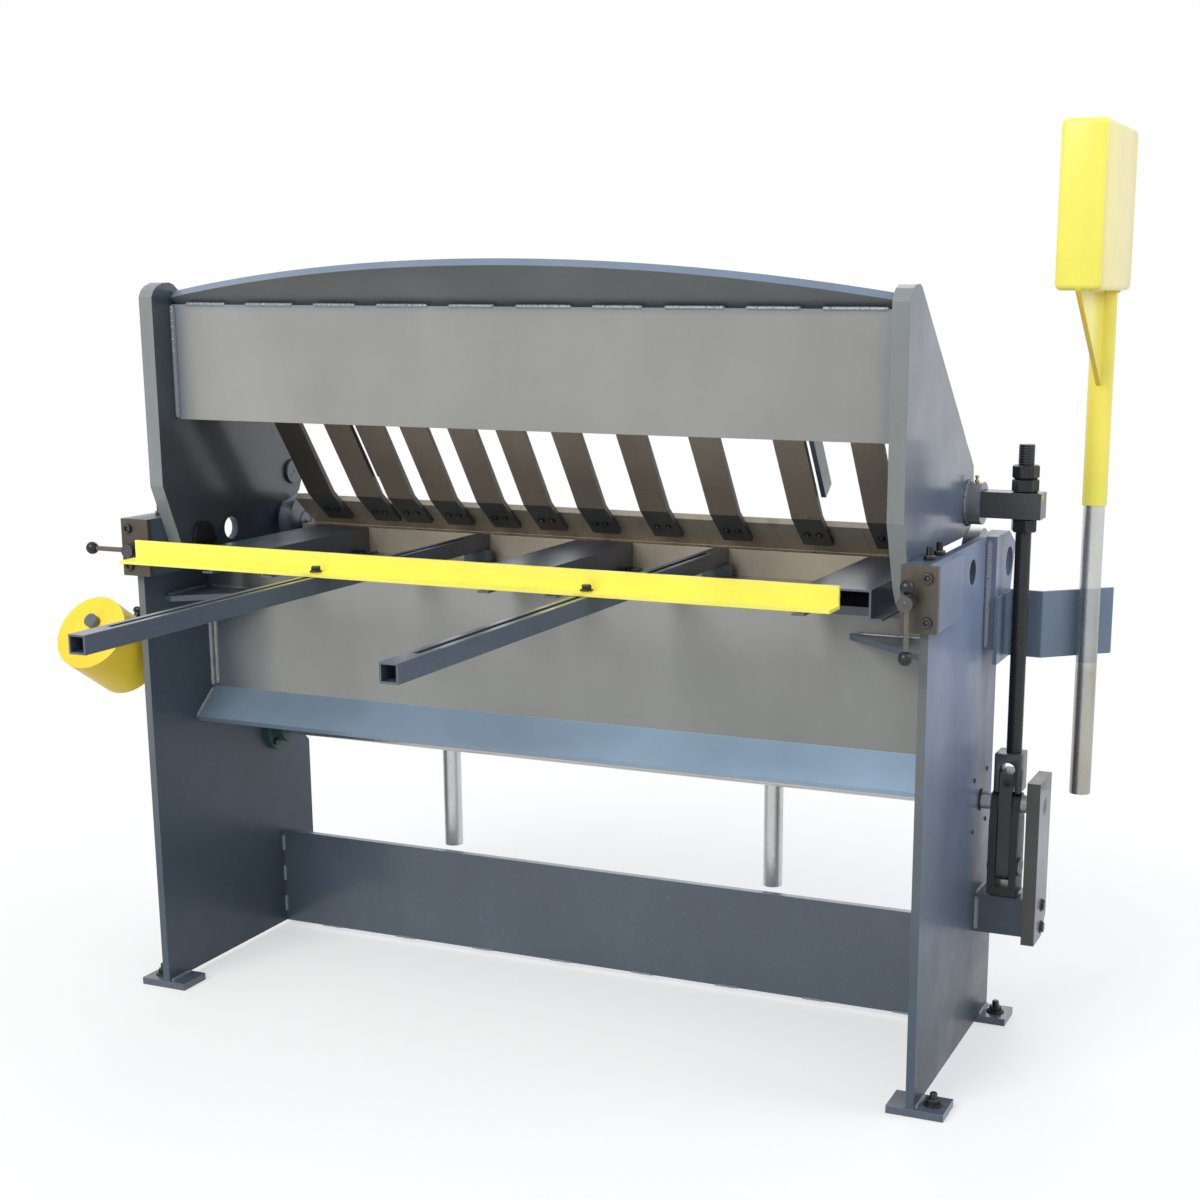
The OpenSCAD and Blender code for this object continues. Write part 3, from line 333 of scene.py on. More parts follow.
def metal(name, colour, rough=0.35, grain=(1, 1, 1), dark=0.7, metallic=1.0, rust=None,
          radius=0.0008, grit=0.2, region=None, shine=None, worn=1.7):
    """Bare or blackened steel: rolled or ground grain, stains, brighter rubbed edges."""
    n = Nodes(name)
    own = region(n) if region else colour
    stains = n.noise(scale=6, detail=8, rough=0.65)
    base = cloudy(n, own, stains, dark, 1.12)
    if rust:
        spots = n.noise(scale=24, detail=8, rough=0.7)
        base = n.mix(n.remap(spots, (0.56, 0.74), (0.0, 0.5)), base, rust)
    lines = n.noise(scale=260, detail=3, rough=0.6, stretch=grain)
    darker = n.mix(1.0, own, grey(0.75), "MULTIPLY")
    base = n.mix(n.remap(lines, (0.4, 0.7), (0.0, 0.4)), base, darker)
    edge, normal = n.edge(radius)
    rubbed = tuple(min(1.0, c * worn) for c in colour)
    base = n.mix(n.remap(edge, (0.1, 1.0), (0.0, 0.5)), base, rubbed)
    n.link(base, n.bsdf.inputs["Base Color"])
    if shine:
        n.link(shine(n), n.bsdf.inputs["Metallic"])
    else:
        n.bsdf.inputs["Metallic"].default_value = metallic
    n.link(n.remap(lines, (0.3, 0.7), (rough - 0.08, rough + 0.14)), n.bsdf.inputs["Roughness"])
    n.bump([(lines, grit, 0.0003), (n.noise(scale=70, detail=4, rough=0.6), 0.1, 0.0008)], normal)
    return n.mat


# Colours by place on a CAD node, with limits in metres
def bed_region(n):
    """Warm grey on the upright panel, darker at its left end by painted shade; blue on the lip by painted sky
    reflection, with a painted highlight towards the right and painted shade towards the left; blue grey on
    the rest.
    """
    lip_top, flange_low = 0.5075, 0.7135
    x, _, z = n.place()
    _, fy, _ = n.facing()
    panel = n.times(n.between(z, lip_top, flange_low), n.above(n.size(fy), 0.5))
    lip = n.below(z, lip_top)
    # painted shade towards the left end of the panel
    warm = n.mix(n.remap(x, (-0.63, -0.52), (0.92, 0.0)), WARM, WARM_SHADE)
    # painted sky reflection on the lip, with a painted highlight towards the right and painted shade towards
    # the left
    lip_sheen = n.mix(n.remap(x, (-0.1, 0.6), (0.0, 0.8)), LIP_SKY_SHEEN, LIP_HIGHLIGHT)
    lip_sheen = n.mix(n.remap(x, (-0.62, -0.1), (0.75, 0.0)), lip_sheen, LIP_SHADE)
    return n.mix(panel, n.mix(lip, BLUE, lip_sheen), warm)


def panel_region(n):
    """Warm grey, bluer beside the arms and along the welded top edge by painted bluish light."""
    x, _, z = n.place()
    # painted bluish light beside the arms and along the top edge
    side = n.remap(n.size(x), (0.575, 0.605), (0.0, 0.75))
    top = n.remap(z, (1.155, panel_top * MM), (0.0, 0.8))
    return n.mix(n.either(side, top), WARM, PANEL_RIM_LIT)


def beam_region(n):
    """Arms with inner faces darkened by painted shade and rear edges paled by painted light, and a warmer
    arch between them, bluer on its upward faces by painted sky light.
    """
    inner_face, arch_end = 0.6115, 0.61095
    x, _, _ = n.place()
    fx, fy, fz = n.facing()
    across = n.size(x)
    inner = n.times(n.below(across, inner_face), n.above(n.size(fx), 0.9))
    # painted shade on the arms' inner faces, painted light on their rear edges
    arm = n.mix(n.below(fy, -0.5), n.mix(inner, ARM, ARM_INNER_SHADE), ARM_EDGE_LIT)
    # painted sky light on the arch's upward faces
    arch = n.mix(n.above(fz, 0.5), ARCH, ARCH_TOP_LIT)
    return n.mix(n.above(across, arch_end), arch, arm)


def bearing_region(n):
    """Enamelled broad faces, paler and bluer by painted sky light, and edges darkened by painted shade."""
    fx, _, _ = n.facing()
    # painted light on the broad faces, painted shade on the edges
    return n.mix(n.above(n.size(fx), 0.5), BEARING_EDGE_SHADE, BEARING_FACE_LIT)


def plate_region(n):
    """Side plates: paler and bluer outside towards the top by painted sky light, darker low down by painted
    shade, with rear edges of their own that carry painted light, stronger towards the top.
    """
    outer_face = 0.6745
    rear_strip = at(0, 5, 0).y
    x, y, z = n.place()
    _, fy, _ = n.facing()
    # painted shade low and painted sky light high on the outer face
    outer = n.mix(n.remap(z, (0.1, 0.66), (0.0, 1.0)), BLUE_SHADED_LOW, BLUE_LIT)
    face = n.mix(n.above(n.size(x), outer_face), BLUE, outer)
    # painted light on the rear edges, strongest towards the top
    edge = n.mix(n.remap(z, (0.2, 0.6), (0.0, 1.0)), PLATE_EDGE_SHADED_LOW, PLATE_EDGE_LIT)
    rear = n.times(n.below(fy, -0.5), n.below(y, rear_strip))
    return n.mix(rear, face, edge)


def tommy_region(n):
    """Grey bars with black balls at the ends, across on the left and upright on the right."""
    ball = 2 * BALL_SEAT_R
    x, _, z = n.place()
    right = n.either(n.below(z, (right_bar_low + ball) * MM), n.above(z, (right_bar_top - ball) * MM))
    left = n.either(n.below(x, (left_bar_out + ball) * MM), n.above(x, (left_bar_in - ball) * MM))
    balls = n.either(n.times(left, n.below(x, 0.0)), n.times(right, n.above(x, 0.0)))
    return n.mix(balls, TOMMY, TOMMY_BALL)


def crank_region(n):
    """Dark cranks with bright turned stubs between crank and outer bearing."""
    stub_in, stub_out = 0.7418, 0.7675
    x, _, _ = n.place()
    return n.mix(n.between(n.size(x), stub_in, stub_out), CRANK, CRANK_STUB)


def finger_region(n):
    """Rolled strap above, darkened by painted shade on its side faces and over the first strap; darker lower
    leg; ground nose in front of the leg.
    """
    leg_top, leg_face, nose_face, first_strap = 0.8345, 0.0085, 0.00902, -0.485
    x, y, z = n.place()
    fx, fy, fz = n.facing()
    _, bend_y, bend_z = at(0, BEND_Y, BEND_Z)
    outward = n.math("ADD", n.times(n.math("SUBTRACT", y, bend_y), LEAN[0]),
                     n.times(n.math("SUBTRACT", z, bend_z), LEAN[1]))
    turned = n.math("ADD", n.times(fy, LEAN[0]), n.times(fz, LEAN[1]))
    low = n.below(z, leg_top)
    rear = n.times(n.below(turned, -0.5), n.above(outward, leg_face))
    nose = n.times(n.either(rear, n.above(outward, nose_face)), low)
    # painted shade on the side faces and over the first strap
    shaded = n.either(n.times(n.below(x, first_strap), 0.75), n.times(n.above(n.size(fx), 0.5), 0.8))
    strap = n.mix(shaded, STRAP, STRAP_SHADE)
    return n.mix(nose, n.mix(low, strap, STRAP_LOW), NOSE)


def yellow_region(n):
    """Lemon paint, paler and warmer on the box's side by painted sky sheen, warmer on its sleeve by painted
    shade, golden on the gusset's downward edge by painted shade.
    """
    box_low, sleeve_top, sleeve_limit = 1.1915, 1.1905, 0.9
    _, _, z = n.place()
    fx, _, fz = n.facing()
    side = n.times(n.above(z, box_low), n.above(fx, 0.7))
    sleeve = n.times(n.below(z, sleeve_top), n.above(z, sleeve_limit))
    gusset = n.times(sleeve, n.below(fz, -0.6))
    # painted sheen on the box's side, painted shade on the sleeve and the gusset's underside
    return n.mix(gusset, n.mix(sleeve, n.mix(side, YELLOW, BOX_SIDE_SHEEN), SLEEVE_SHADED), GUSSET_UNDERSIDE_SHADE)


def on_post(n):
    """1 on the counterweight's tube, 0 on the strip that carries it."""
    tube_r = 0.0169
    x, y, _ = n.place()
    post = at(POST_X, POST_Y, 0)
    return n.below(n.length(n.math("SUBTRACT", x, post.x), n.math("SUBTRACT", y, post.y)), tube_r)


def post_region(n):
    """Zinc on the tube, blue grey on the strip it is welded to, and paint overspray between."""
    _, _, z = n.place()
    over = n.times(n.between(z, 0.616, 0.735), 0.45)
    old = n.remap(z, (0.6, 0.63), (1.0, 0.0))
    zinc = n.mix(n.times(old, 0.6), ZINC, ZINC_OLD)
    streak = n.remap(n.noise(scale=34, detail=3, rough=0.5, stretch=(1, 1, 0.05)), (0.48, 0.64), (0.0, 0.75))
    streak = n.times(streak, n.remap(z, (0.55, 0.75), (1.0, 0.3)))
    zinc = n.mix(streak, zinc, ZINC_STREAK)
    return n.mix(on_post(n), STRIP, n.mix(over, zinc, OVERSPRAY))


def post_shine(n):
    """Metallic on the tube alone."""
    return n.times(on_post(n), 0.88)


MATS = {
    "frame_paint": paint("enamel_blue_grey", BLUE, 0.4, coat=0.6),
    "plate_paint": paint("enamel_side_plate", BLUE, 0.42, coat=0.12, region=plate_region, gloss=0.3),
    "beam_paint": paint("enamel_beam", ARM, 0.4, worn=(0.34, 0.36, 0.37), coat=0.6, region=beam_region),
    "bed_paint": paint("enamel_bed", BLUE, 0.36, worn=(0.36, 0.38, 0.38), coat=0.55, peel=0.18,
                       region=bed_region),
    "panel_paint": paint("enamel_panel", WARM, 0.36, worn=(0.36, 0.38, 0.38), coat=0.35, peel=0.15,
                         region=panel_region),
    "bearing_paint": paint("enamel_bearing", BLUE, 0.42, coat=0.4, region=bearing_region),
    # The counterweight's orange is its yellow enamel with painted shade
    "weight_paint_shaded": paint("enamel_weight_shaded", (0.97, 0.7, 0.03), 0.45, worn=(0.97, 0.85, 0.3), coat=0.1,
                          dust=(0.9, 0.65, 0.06)),
    "yellow_paint": paint("enamel_yellow", YELLOW, 0.33, worn=(0.97, 0.9, 0.3), coat=0.25,
                          dust=(0.9, 0.82, 0.25), region=yellow_region),
    "black_paint": paint("enamel_black", (0.056, 0.056, 0.06), 0.4, worn=(0.16, 0.16, 0.17), coat=0.35,
                         wear=0.7),
    "green_casting": paint("casting_green", (0.03, 0.085, 0.065), 0.5, worn=(0.1, 0.2, 0.16), coat=0.1,
                           peel=0.6),
    # The paler blue of the painted beads is painted light on the beads, over the frame's blue-grey enamel
    "painted_weld": paint("weld_painted", (0.2, 0.228, 0.255), 0.34, worn=(0.4, 0.42, 0.45), coat=0.5,
                          peel=0.5),
    "yellow_dab": paint("marker_dab", (0.86, 0.5, 0.06), 0.4, worn=(0.9, 0.6, 0.2), coat=0.1,
                        dust=(0.8, 0.5, 0.1)),
    "tool_steel": metal("handle_steel", (0.13, 0.125, 0.12), 0.24, metallic=0.85, worn=2.0),
    "tommy_steel": metal("tommy_steel", TOMMY, 0.24, metallic=0.7, region=tommy_region, worn=1.3,
                         radius=0.0004, grit=0.05),
    "crank_steel": metal("crank_steel", CRANK, 0.36, (6, 1, 1), metallic=0.4, region=crank_region, worn=3.0),
    "finger_steel": metal("strap_and_nose_steel", STRAP, 0.46, (6, 1, 1), rust=(0.13, 0.085, 0.055),
                          metallic=0.35, region=finger_region, dark=0.82),
    "ground_steel": metal("ground_tool_steel", (0.66, 0.57, 0.45), 0.36, (1, 8, 8), rust=(0.24, 0.17, 0.11),
                          metallic=0.5, dark=0.8),
    "block_steel": metal("ground_block_steel", (0.105, 0.089, 0.071), 0.38, (8, 8, 1),
                         rust=(0.1, 0.075, 0.055), metallic=0.4, dark=0.8),
    "bright_steel": metal("turned_steel", (0.66, 0.65, 0.64), 0.2, (20, 4, 4), metallic=0.92, dark=0.92,
                          grit=0.03),
    "black_oxide": metal("black_oxide", (0.034, 0.035, 0.038), 0.3, metallic=0.55, dark=0.75, worn=5.5),
    "galvanised": metal("galvanised_tube", (0.78, 0.8, 0.78), 0.36, dark=0.86, metallic=0.7, worn=1.2),
    "post_zinc": metal("tube_and_strip", ZINC, 0.27, (8, 8, 0.5), dark=0.86, region=post_region,
                       shine=post_shine, worn=0.6, grit=0.04),
    "brass": metal("brass", (0.6, 0.42, 0.14), 0.3),
    "raw_weld": metal("weld_raw", (0.46, 0.48, 0.49), 0.45, metallic=0.35, dark=0.4, grit=0.5, worn=2.0),
    # The black rings round the pin heads and their holes are painted shadow in the gaps and hollows
    "shadow_gap": metal("painted_shadow_gap", (0.012, 0.012, 0.013), 0.6, metallic=0.2),
}

# CAD nodes whose look is not the plain one of their record slot
SPECIAL = {
    "bed_plate": "bed_paint",
    "beam_rear_panel": "panel_paint",
    "beam_arch_plate": "beam_paint",
    "beam_arm_left": "beam_paint",
    "beam_arm_right": "beam_paint",
    "left_side_plate": "plate_paint",
    "right_side_plate": "plate_paint",
    "guide_housings": "plate_paint",
    "hinge_ears": "plate_paint",
    "outer_bearing_plates": "bearing_paint",
    "clamp_counterweight": "weight_paint_shaded",
    "clamp_lever": "frame_paint",
    "gauge_tube_brackets": "frame_paint",
    "trunnion_pins": "frame_paint",
    "trunnion_blocks": "black_paint",
    "rod_forks": "black_paint",
    "link_bars": "black_paint",
    "tie_rods": "black_oxide",
    "cranks": "crank_steel",
    "guide_end_blocks": "block_steel",
    "weight_bracket": "post_zinc",
    "setback_screw_left": "tool_steel",
    "setback_screw_right": "tool_steel",
    "tommy_bar_left": "tommy_steel",
    "tommy_bar_right": "tommy_steel",
}
SPECIAL.update({f"finger_{number:02d}": "finger_steel" for number in range(1, len(STRAP_SHARES) + 1)})
record_slots = {part["node"]: part["material_slot"] for part in frame["record"]["subparts"]}
for node, obj in frame["nodes"].items():
    look = MATS[SPECIAL.get(node, record_slots[node])]
    if not obj.material_slots:
        obj.data.materials.append(look)
    for slot in obj.material_slots:
        slot.material = look


# Helpers that make the pieces
SHARP_ANGLE = math.radians(38)
BEVEL_ANGLE = math.radians(40)


def finish_piece(name, bm, mat, body, replaces=()):
    """A named mesh with its material and slot, riding on its body."""
    mesh = bpy.data.meshes.new(name)
    bmesh.ops.recalc_face_normals(bm, faces=bm.faces)
    bm.to_mesh(mesh)
    bm.free()
    for polygon in mesh.polygons:
        polygon.use_smooth = True
    mesh.set_sharp_from_angle(angle=SHARP_ANGLE)
    piece = bpy.data.objects.new(name, mesh)
    bpy.context.scene.collection.objects.link(piece)
    piece.data.materials.append(MATS[mat])
    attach(piece, body)
    for node in replaces:
        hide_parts(node)


def standing(start, direction):
    """A matrix that stands Z on start along direction."""
    turn = Vector(UP).rotation_difference(Vector(direction).normalized())
    return Matrix.Translation(start) @ turn.to_matrix().to_4x4()


def angles(count, spin=0.0):
    return [spin + 2 * math.pi * k / count for k in range(count)]


def circle(first, second, radius, turns):
    """Pairs of coordinates round a middle, which is given by its first and second coordinate."""
    return [(first + radius * math.cos(a), second + radius * math.sin(a)) for a in turns]


def add_ring(bm, place, radii, along, turns):
    """One ring of vertices in millimetres: a radius and an angle for each."""
    return [bm.verts.new(place @ Vector((r * MM * math.cos(a), r * MM * math.sin(a), along * MM)))
            for r, a in zip(radii, turns)]


def bridge(bm, first, second):
    """Faces between two rings of the same size."""
    for k, (a, b) in enumerate(zip(first, second)):
        j = (k + 1) % len(first)
        bm.faces.new((a, first[j], second[j], b))


def skin(bm, rings):
    """Rings joined one after the other, and closed at both ends."""
    for first, second in zip(rings, rings[1:]):
        bridge(bm, first, second)
    bm.faces.new(list(reversed(rings[0])))
    bm.faces.new(rings[-1])


def lathe(bm, start, direction, profile, sides=24, spin=0.0):
    """A closed turned form: profile is (distance along, radius) in millimetres."""
    place = standing(start, direction)
    turns = angles(sides, spin)
    skin(bm, [add_ring(bm, place, [radius] * sides, along, turns) for along, radius in profile])


def slab(bm, outline, depth, round_by, segments=2):
    """A flat outline carried along depth, with its sharp edges rounded by round_by millimetres."""
    front = [bm.verts.new(p) for p in outline]
    back = [bm.verts.new(p + depth) for p in outline]
    faces = [bm.faces.new(front), bm.faces.new(list(reversed(back)))]
    for i in range(len(outline)):
        j = (i + 1) % len(outline)
        faces.append(bm.faces.new((front[j], front[i], back[i], back[j])))
    bmesh.ops.recalc_face_normals(bm, faces=faces)
    sharp = {e for face in faces for e in face.edges if e.calc_face_angle(0.0) > BEVEL_ANGLE}
    bmesh.ops.bevel(bm, geom=list(sharp), offset=round_by * MM, segments=segments, profile=0.5,
                    affect="EDGES")


def hoop(bm, start, direction, inner, outer, height, sides=32):
    """A flat ring with a hole."""
    place = standing(start, direction)
    turns = angles(sides)
    rings = [add_ring(bm, place, [radius] * sides, along, turns)
             for radius, along in ((inner, 0), (outer, 0), (outer, height), (inner, height))]
    for i, ring in enumerate(rings):
        bridge(bm, ring, rings[(i + 1) % len(rings)])


def hex_bolt(bm, start, direction, width, height, washer=0.0, stud=0.0, reach=0.0, spin=0.0):
    """A washer, a chamfered hexagon head and a stud end with thread rings, standing on start."""
    washer_h = 2.4
    ring_step = 1.5
    r = width / 2
    axis = Vector(direction).normalized()
    base = Vector(start)
    if washer:
        rim = washer * 0.96
        lathe(bm, base, direction, [(0, rim), (0.4, washer), (washer_h - 0.4, washer), (washer_h, rim)], 28)
        base = base + axis * washer_h * MM
    head = [(0, r * 0.93), (0.7, r), (height - 1.2, r), (height, r * 0.86)]
    lathe(bm, base, direction, head, 6, spin)
    if stud:
        base = base + axis * height * MM
        steps = int(reach / ring_step)
        profile = []
        for i in range(steps):
            profile += [(reach * i / steps, stud), (reach * (i + 0.5) / steps, stud * 0.86)]
        lathe(bm, base, direction, profile + [(reach, stud * 0.8)], 18)


def socket_screw(bm, start, direction, radius, height):
    """A cap screw with a knurled side and a hexagon socket."""
    sides = 36
    sixth = math.pi / 3
    place = standing(start, direction)
    turns = angles(sides)
    knurl = [1.0 if i % 2 else 0.965 for i in range(sides)]
    hexagon = [math.cos(sixth / 2) / math.cos(a % sixth - sixth / 2) for a in turns]
    rings = [add_ring(bm, place, [radius * share * k for k in knurl], along, turns)
             for along, share in ((0, 1.0), (height * 0.84, 1.0), (height, 0.9))]
    rings += [add_ring(bm, place, [radius * 0.5 * k for k in hexagon], along, turns)
              for along in (height, height * 0.45)]
    skin(bm, rings)


def weld(bm, start, end, radius, stop_ends=True):
    """A rippled bead from start to end, tapered at its ends where it stops there."""
    ripple = 1.6
    sides = 8
    run = end - start
    length = run.length / MM
    place = standing(start, run)
    steps = max(4, int(length / ripple))
    wander = rng.uniform(-0.3, 0.3, (steps + 1, 2))
    rings = []
    for i in range(steps + 1):
        t = i / steps
        near_end = min(1.0, min(t, 1 - t) * length / radius)
        taper = math.sqrt(1 - (1 - near_end) ** 2) if stop_ends else 1.0
        r = radius * max(0.12, taper) * (1 + 0.06 * math.sin(i * 2.1) + rng.uniform(-0.04, 0.04))
        rings.append([bm.verts.new(place @ Vector(((r * math.cos(a) + wander[i][0]) * MM,
                                                   (r * math.sin(a) + wander[i][1]) * MM,
                                                   t * length * MM)))
                      for a in angles(sides)])
    skin(bm, rings)


def weld_loop(bm, points, radius):
    """Short beads from point to point and back to the first."""
    for start, end in zip(points, points[1:] + points[:1]):
        weld(bm, start, end, radius, False)


def side_seam(bm, side, x, start, end, radius):
    """A bead on one side of the machine, between two points given by their Y and Z."""
    weld(bm, at(side * x, *start), at(side * x, *end), radius)


def thread(bm, start, direction, length, radius, pitch, sides=20):
    """A helical thread skin, closed at both ends, just proud of a plain rod."""
    per_turn = 4
    place = standing(start, direction)
    turns = angles(sides)
    total = int(length / pitch * per_turn)
    rings = []
    for i in range(total + 1):
        radii = [radius * 0.93] * sides
        if 0 < i < total:
            phases = [(i / per_turn - k / sides) % 1.0 for k in range(sides)]
            radii = [radius - 0.09 * pitch + 0.275 * pitch * (1.0 - abs(phase * 2 - 1.0)) for phase in phases]
        rings.append(add_ring(bm, place, radii, i * length / total, turns))
    skin(bm, rings)


# Welds, whose beads draw from rng in this order
def beam_welds(bm):
    """Short beads on the rear panel's top edge, beads beside the arms, rings on the arms' collars."""
    count, first, pitch = 10, -545, 121
    top_y, top_z = panel_rear + 1.6, panel_top + 0.1
    behind, before = panel_rear - 1.2, panel_front + 1.3
    collar_x, collar_r = 637, 33.6
    for i in range(count):
        x = first + i * pitch
        half = 38 + (i * 7) % 13
        weld(bm, at(x - half, top_y, top_z), at(x + half, top_y, top_z), 3.4)
    for s in SIDES:
        side_seam(bm, s, panel_end - 2.2, (behind, panel_low + 1), (behind, panel_top - 0.5), 5.0)
        side_seam(bm, s, panel_end - 1.5, (before, panel_low + 2), (before, panel_top - 1.5), 4.0)
        collar = circle(trunnion_y, trunnion_z, collar_r, angles(18))
        weld_loop(bm, [at(s * collar_x, y, z) for y, z in collar], 3.2)


def bed_end_welds(bm):
    """Unpainted beads between the bed's panel and lip and the side plates."""
    panel_y, panel_z = 168.6, (508, 674)
    second_y, second_z = 169.0, (512, 672)
    lip_start, lip_end = (169, 504), (118, 462)
    for s in SIDES:
        side_seam(bm, s, plate_in - 0.9, (panel_y, panel_z[0]), (panel_y, panel_z[1]), 5.0)
        side_seam(bm, s, plate_in - 10.8, (second_y, second_z[0]), (second_y, second_z[1]), 4.0)
        side_seam(bm, s, plate_in - 0.5, lip_start, lip_end, 3.8)


def frame_welds(bm):
    """Beads on gussets, crossbar, pads, hinge ears, bearing brackets and guide housings."""
    inside, outside = plate_in - 0.5, plate_out + 0.4
    gusset_y, gusset_z = gusset_front - 0.4, gusset_top + 0.3
    crossbar_y = crossbar_rear - 0.4
    pad_z = pad_top + 0.4
    ear_y = ear_rear - 1.4
    bracket_y, bracket_z = bracket_rear - 1.2, bracket_top + 0.4
    housing_y, housing_z = housing_front + 0.6, housing_low - 0.4
    for s in SIDES:
        side_seam(bm, s, inside, (60, gusset_z), (165, gusset_z), 3.0)
        weld(bm, at(s * 655, gusset_y, gusset_z), at(s * 520, gusset_y, gusset_z), 3.0)
        for z in (30, 90, 150):
            side_seam(bm, s, inside, (crossbar_y, z), (crossbar_y, z + 32), 3.6)
        for x in (outside, inside):
            for y_start, y_end in ((4, 58), (398, 452)):
                side_seam(bm, s, x, (y_start, pad_z), (y_end, pad_z), 3.6)
        side_seam(bm, s, plate_out + 3, (ear_y, ear_low + 3), (ear_y, plate_top - 5), 6.4)
        side_seam(bm, s, plate_out + 2, (bracket_y, bracket_low + 4), (bracket_y, bracket_top - 3), 5.4)
        side_seam(bm, s, outside, (bracket_rear + 2, bracket_z), (bracket_front - 2, bracket_z), 3.4)
        side_seam(bm, s, outside, (housing_y, housing_low + 4), (housing_y, plate_top - 4), 3.0)
        side_seam(bm, s, outside, (4, housing_z), (housing_front - 3, housing_z), 3.2)
    half = 22
    for x in range(-560, 561, 160):
        foot = (crossbar_y, pad_top + 0.8)
        weld(bm, at(x - half, *foot), at(x + half, *foot), 2.0)


def post_welds(bm):
    """Beads round the end of the strip where the counterweight's tube stands against it."""
    along, out = (0.745, 0.667), (-0.667, 0.745)
    near, far, half = 16.4, 18.4, 8
    low, high = 626, 726
    for side in SIDES:
        x = POST_X + out[0] * near + side * along[0] * half
        y = POST_Y + out[1] * near + side * along[1] * half
        weld(bm, at(x, y, low), at(x, y, high), 3.4)
        for z in (low - 1.5, high + 1.5):
            weld(bm, at(x, y, z), at(POST_X + out[0] * far, POST_Y + out[1] * far, z), 2.6)


def box_welds(bm):
    """Beads under the counterweight's box, round its sleeve and along its gusset."""
    ring_r, ring_z = 20.4, BOX_LOW - 0.6
    half, start_y, end_y, seam_z = 3.4, 300, 418, BOX_LOW - 0.8
    ring = circle(POST_X, POST_Y, ring_r, angles(24))
    weld_loop(bm, [at(x, y, ring_z) for x, y in ring], 2.6)
    for s in SIDES:
        x = POST_X + s * half
        weld(bm, at(x, start_y, seam_z), at(x, end_y, seam_z), 2.2)


# Tie rods and counterweight
def tie_rod_threads(bm):
    """Threads on the rods below the lowest nut and above the highest."""
    pitch = 4.0
    for s in SIDES:
        x = s * rod_x
        thread(bm, at(x, trunnion_y, rod_low + 1), UP, nut_low - rod_low - 2, ROD_R, pitch)
        thread(bm, at(x, trunnion_y, nut_top + 1), UP, rod_top - nut_top - 3, ROD_R, pitch)


def tie_rod_nuts(bm):
    """Chamfered nuts, one below each trunnion block and two above it."""
    height, lift, chamfer = 20.9, 0.05, 0.86
    turn, level = 0.006, 860
    nut_h = block_low - nut_low
    r = nut_out - rod_x
    profile = [(0, r * chamfer), (2.2, r), (18.8, r), (height, r * chamfer)]
    for s in SIDES:
        for z in (nut_low, block_top, block_top + nut_h):
            lathe(bm, at(s * rod_x, trunnion_y, z + lift), UP, profile, 6, turn * (z - level))


def fork_shells(bm):
    """Fork heads with an arched slot for the link."""
    inner_x, half_slot = 698, 12.6
    slot_x, slot_z = link_out - LINK_HALF, link_top + 2.5
    half_turn = [math.pi - a for a in angles(24)[:13]]
    arch = circle(slot_x, slot_z, half_slot, half_turn)
    outline = [(inner_x, fork_top), (inner_x, fork_low), (slot_x - half_slot, fork_low), *arch,
               (slot_x + half_slot, fork_low), (fork_out, fork_low), (fork_out, fork_top)]
    depth = Vector((0, (fork_front - fork_rear) * MM, 0))
    for s in SIDES:
        slab(bm, [at(s * x, fork_rear, z) for x, z in outline], depth, 1.2)


def weight_box_shell(bm):
    """The counterweight's rounded box, its sleeve on the tube and its gusset."""
    low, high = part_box("weight_box")
    box_z = BOX_LOW * MM
    footprint = ((low[0], low[1]), (high[0], low[1]), (high[0], high[1]), (low[0], high[1]))
    slab(bm, [Vector((x, y, box_z)) for x, y in footprint], Vector((0, 0, high[2] - box_z)), 9.0, 4)
    sleeve_inner, sleeve_outer, sleeve_top = 17.05, 19.2, BOX_LOW + 2
    hoop(bm, at(POST_X, POST_Y, sleeve_low), UP, sleeve_inner, sleeve_outer, sleeve_top - sleeve_low, 48)
    gusset_t = 7.4
    tip_y, tube_y = 226, 427
    foot_z, root_z = 1049, BOX_LOW + 1
    x = POST_X - gusset_t / 2
    gusset = [at(x, tip_y, root_z), at(x, tube_y, root_z), at(x, tube_y, foot_z)]
    slab(bm, gusset, Vector((gusset_t * MM, 0, 0)), 0.8)


def weight_lock_knob(bm):
    """A turned knob on the round weight, square to the lever that it slides on."""
    lever_x, reach, height = -754.6, 354, 45.6
    lean = math.radians(33.5)
    out = Vector((0, -math.cos(lean), math.sin(lean)))
    up = Vector((0, math.sin(lean), math.cos(lean)))
    profile = [(0, 7.0), (2, 7.4), (5, 7.4), (6, 6.4), (14.5, 6.4), (16, 8.6), (18, 10.0), (21, 10.4),
               (24, 9.2), (25.6, 6.0), (26, 2.0)]
    place = at(lever_x, shaft_y, shaft_z) + out * (reach * MM) + up * (height * MM)
    lathe(bm, place, up, profile)


def block_dab(bm):
    """A dab of yellow marker paint on the end of the right trunnion block."""
    spots = ((351.5, 882.5, 5.4, 0.15, 14), (355.5, 879.5, 3.9, 0.12, 12))
    for y, z, radius, height, sides in spots:
        lathe(bm, at(block_end, y, z), (1, 0, 0), [(0, radius), (height, radius - 0.5)], sides)


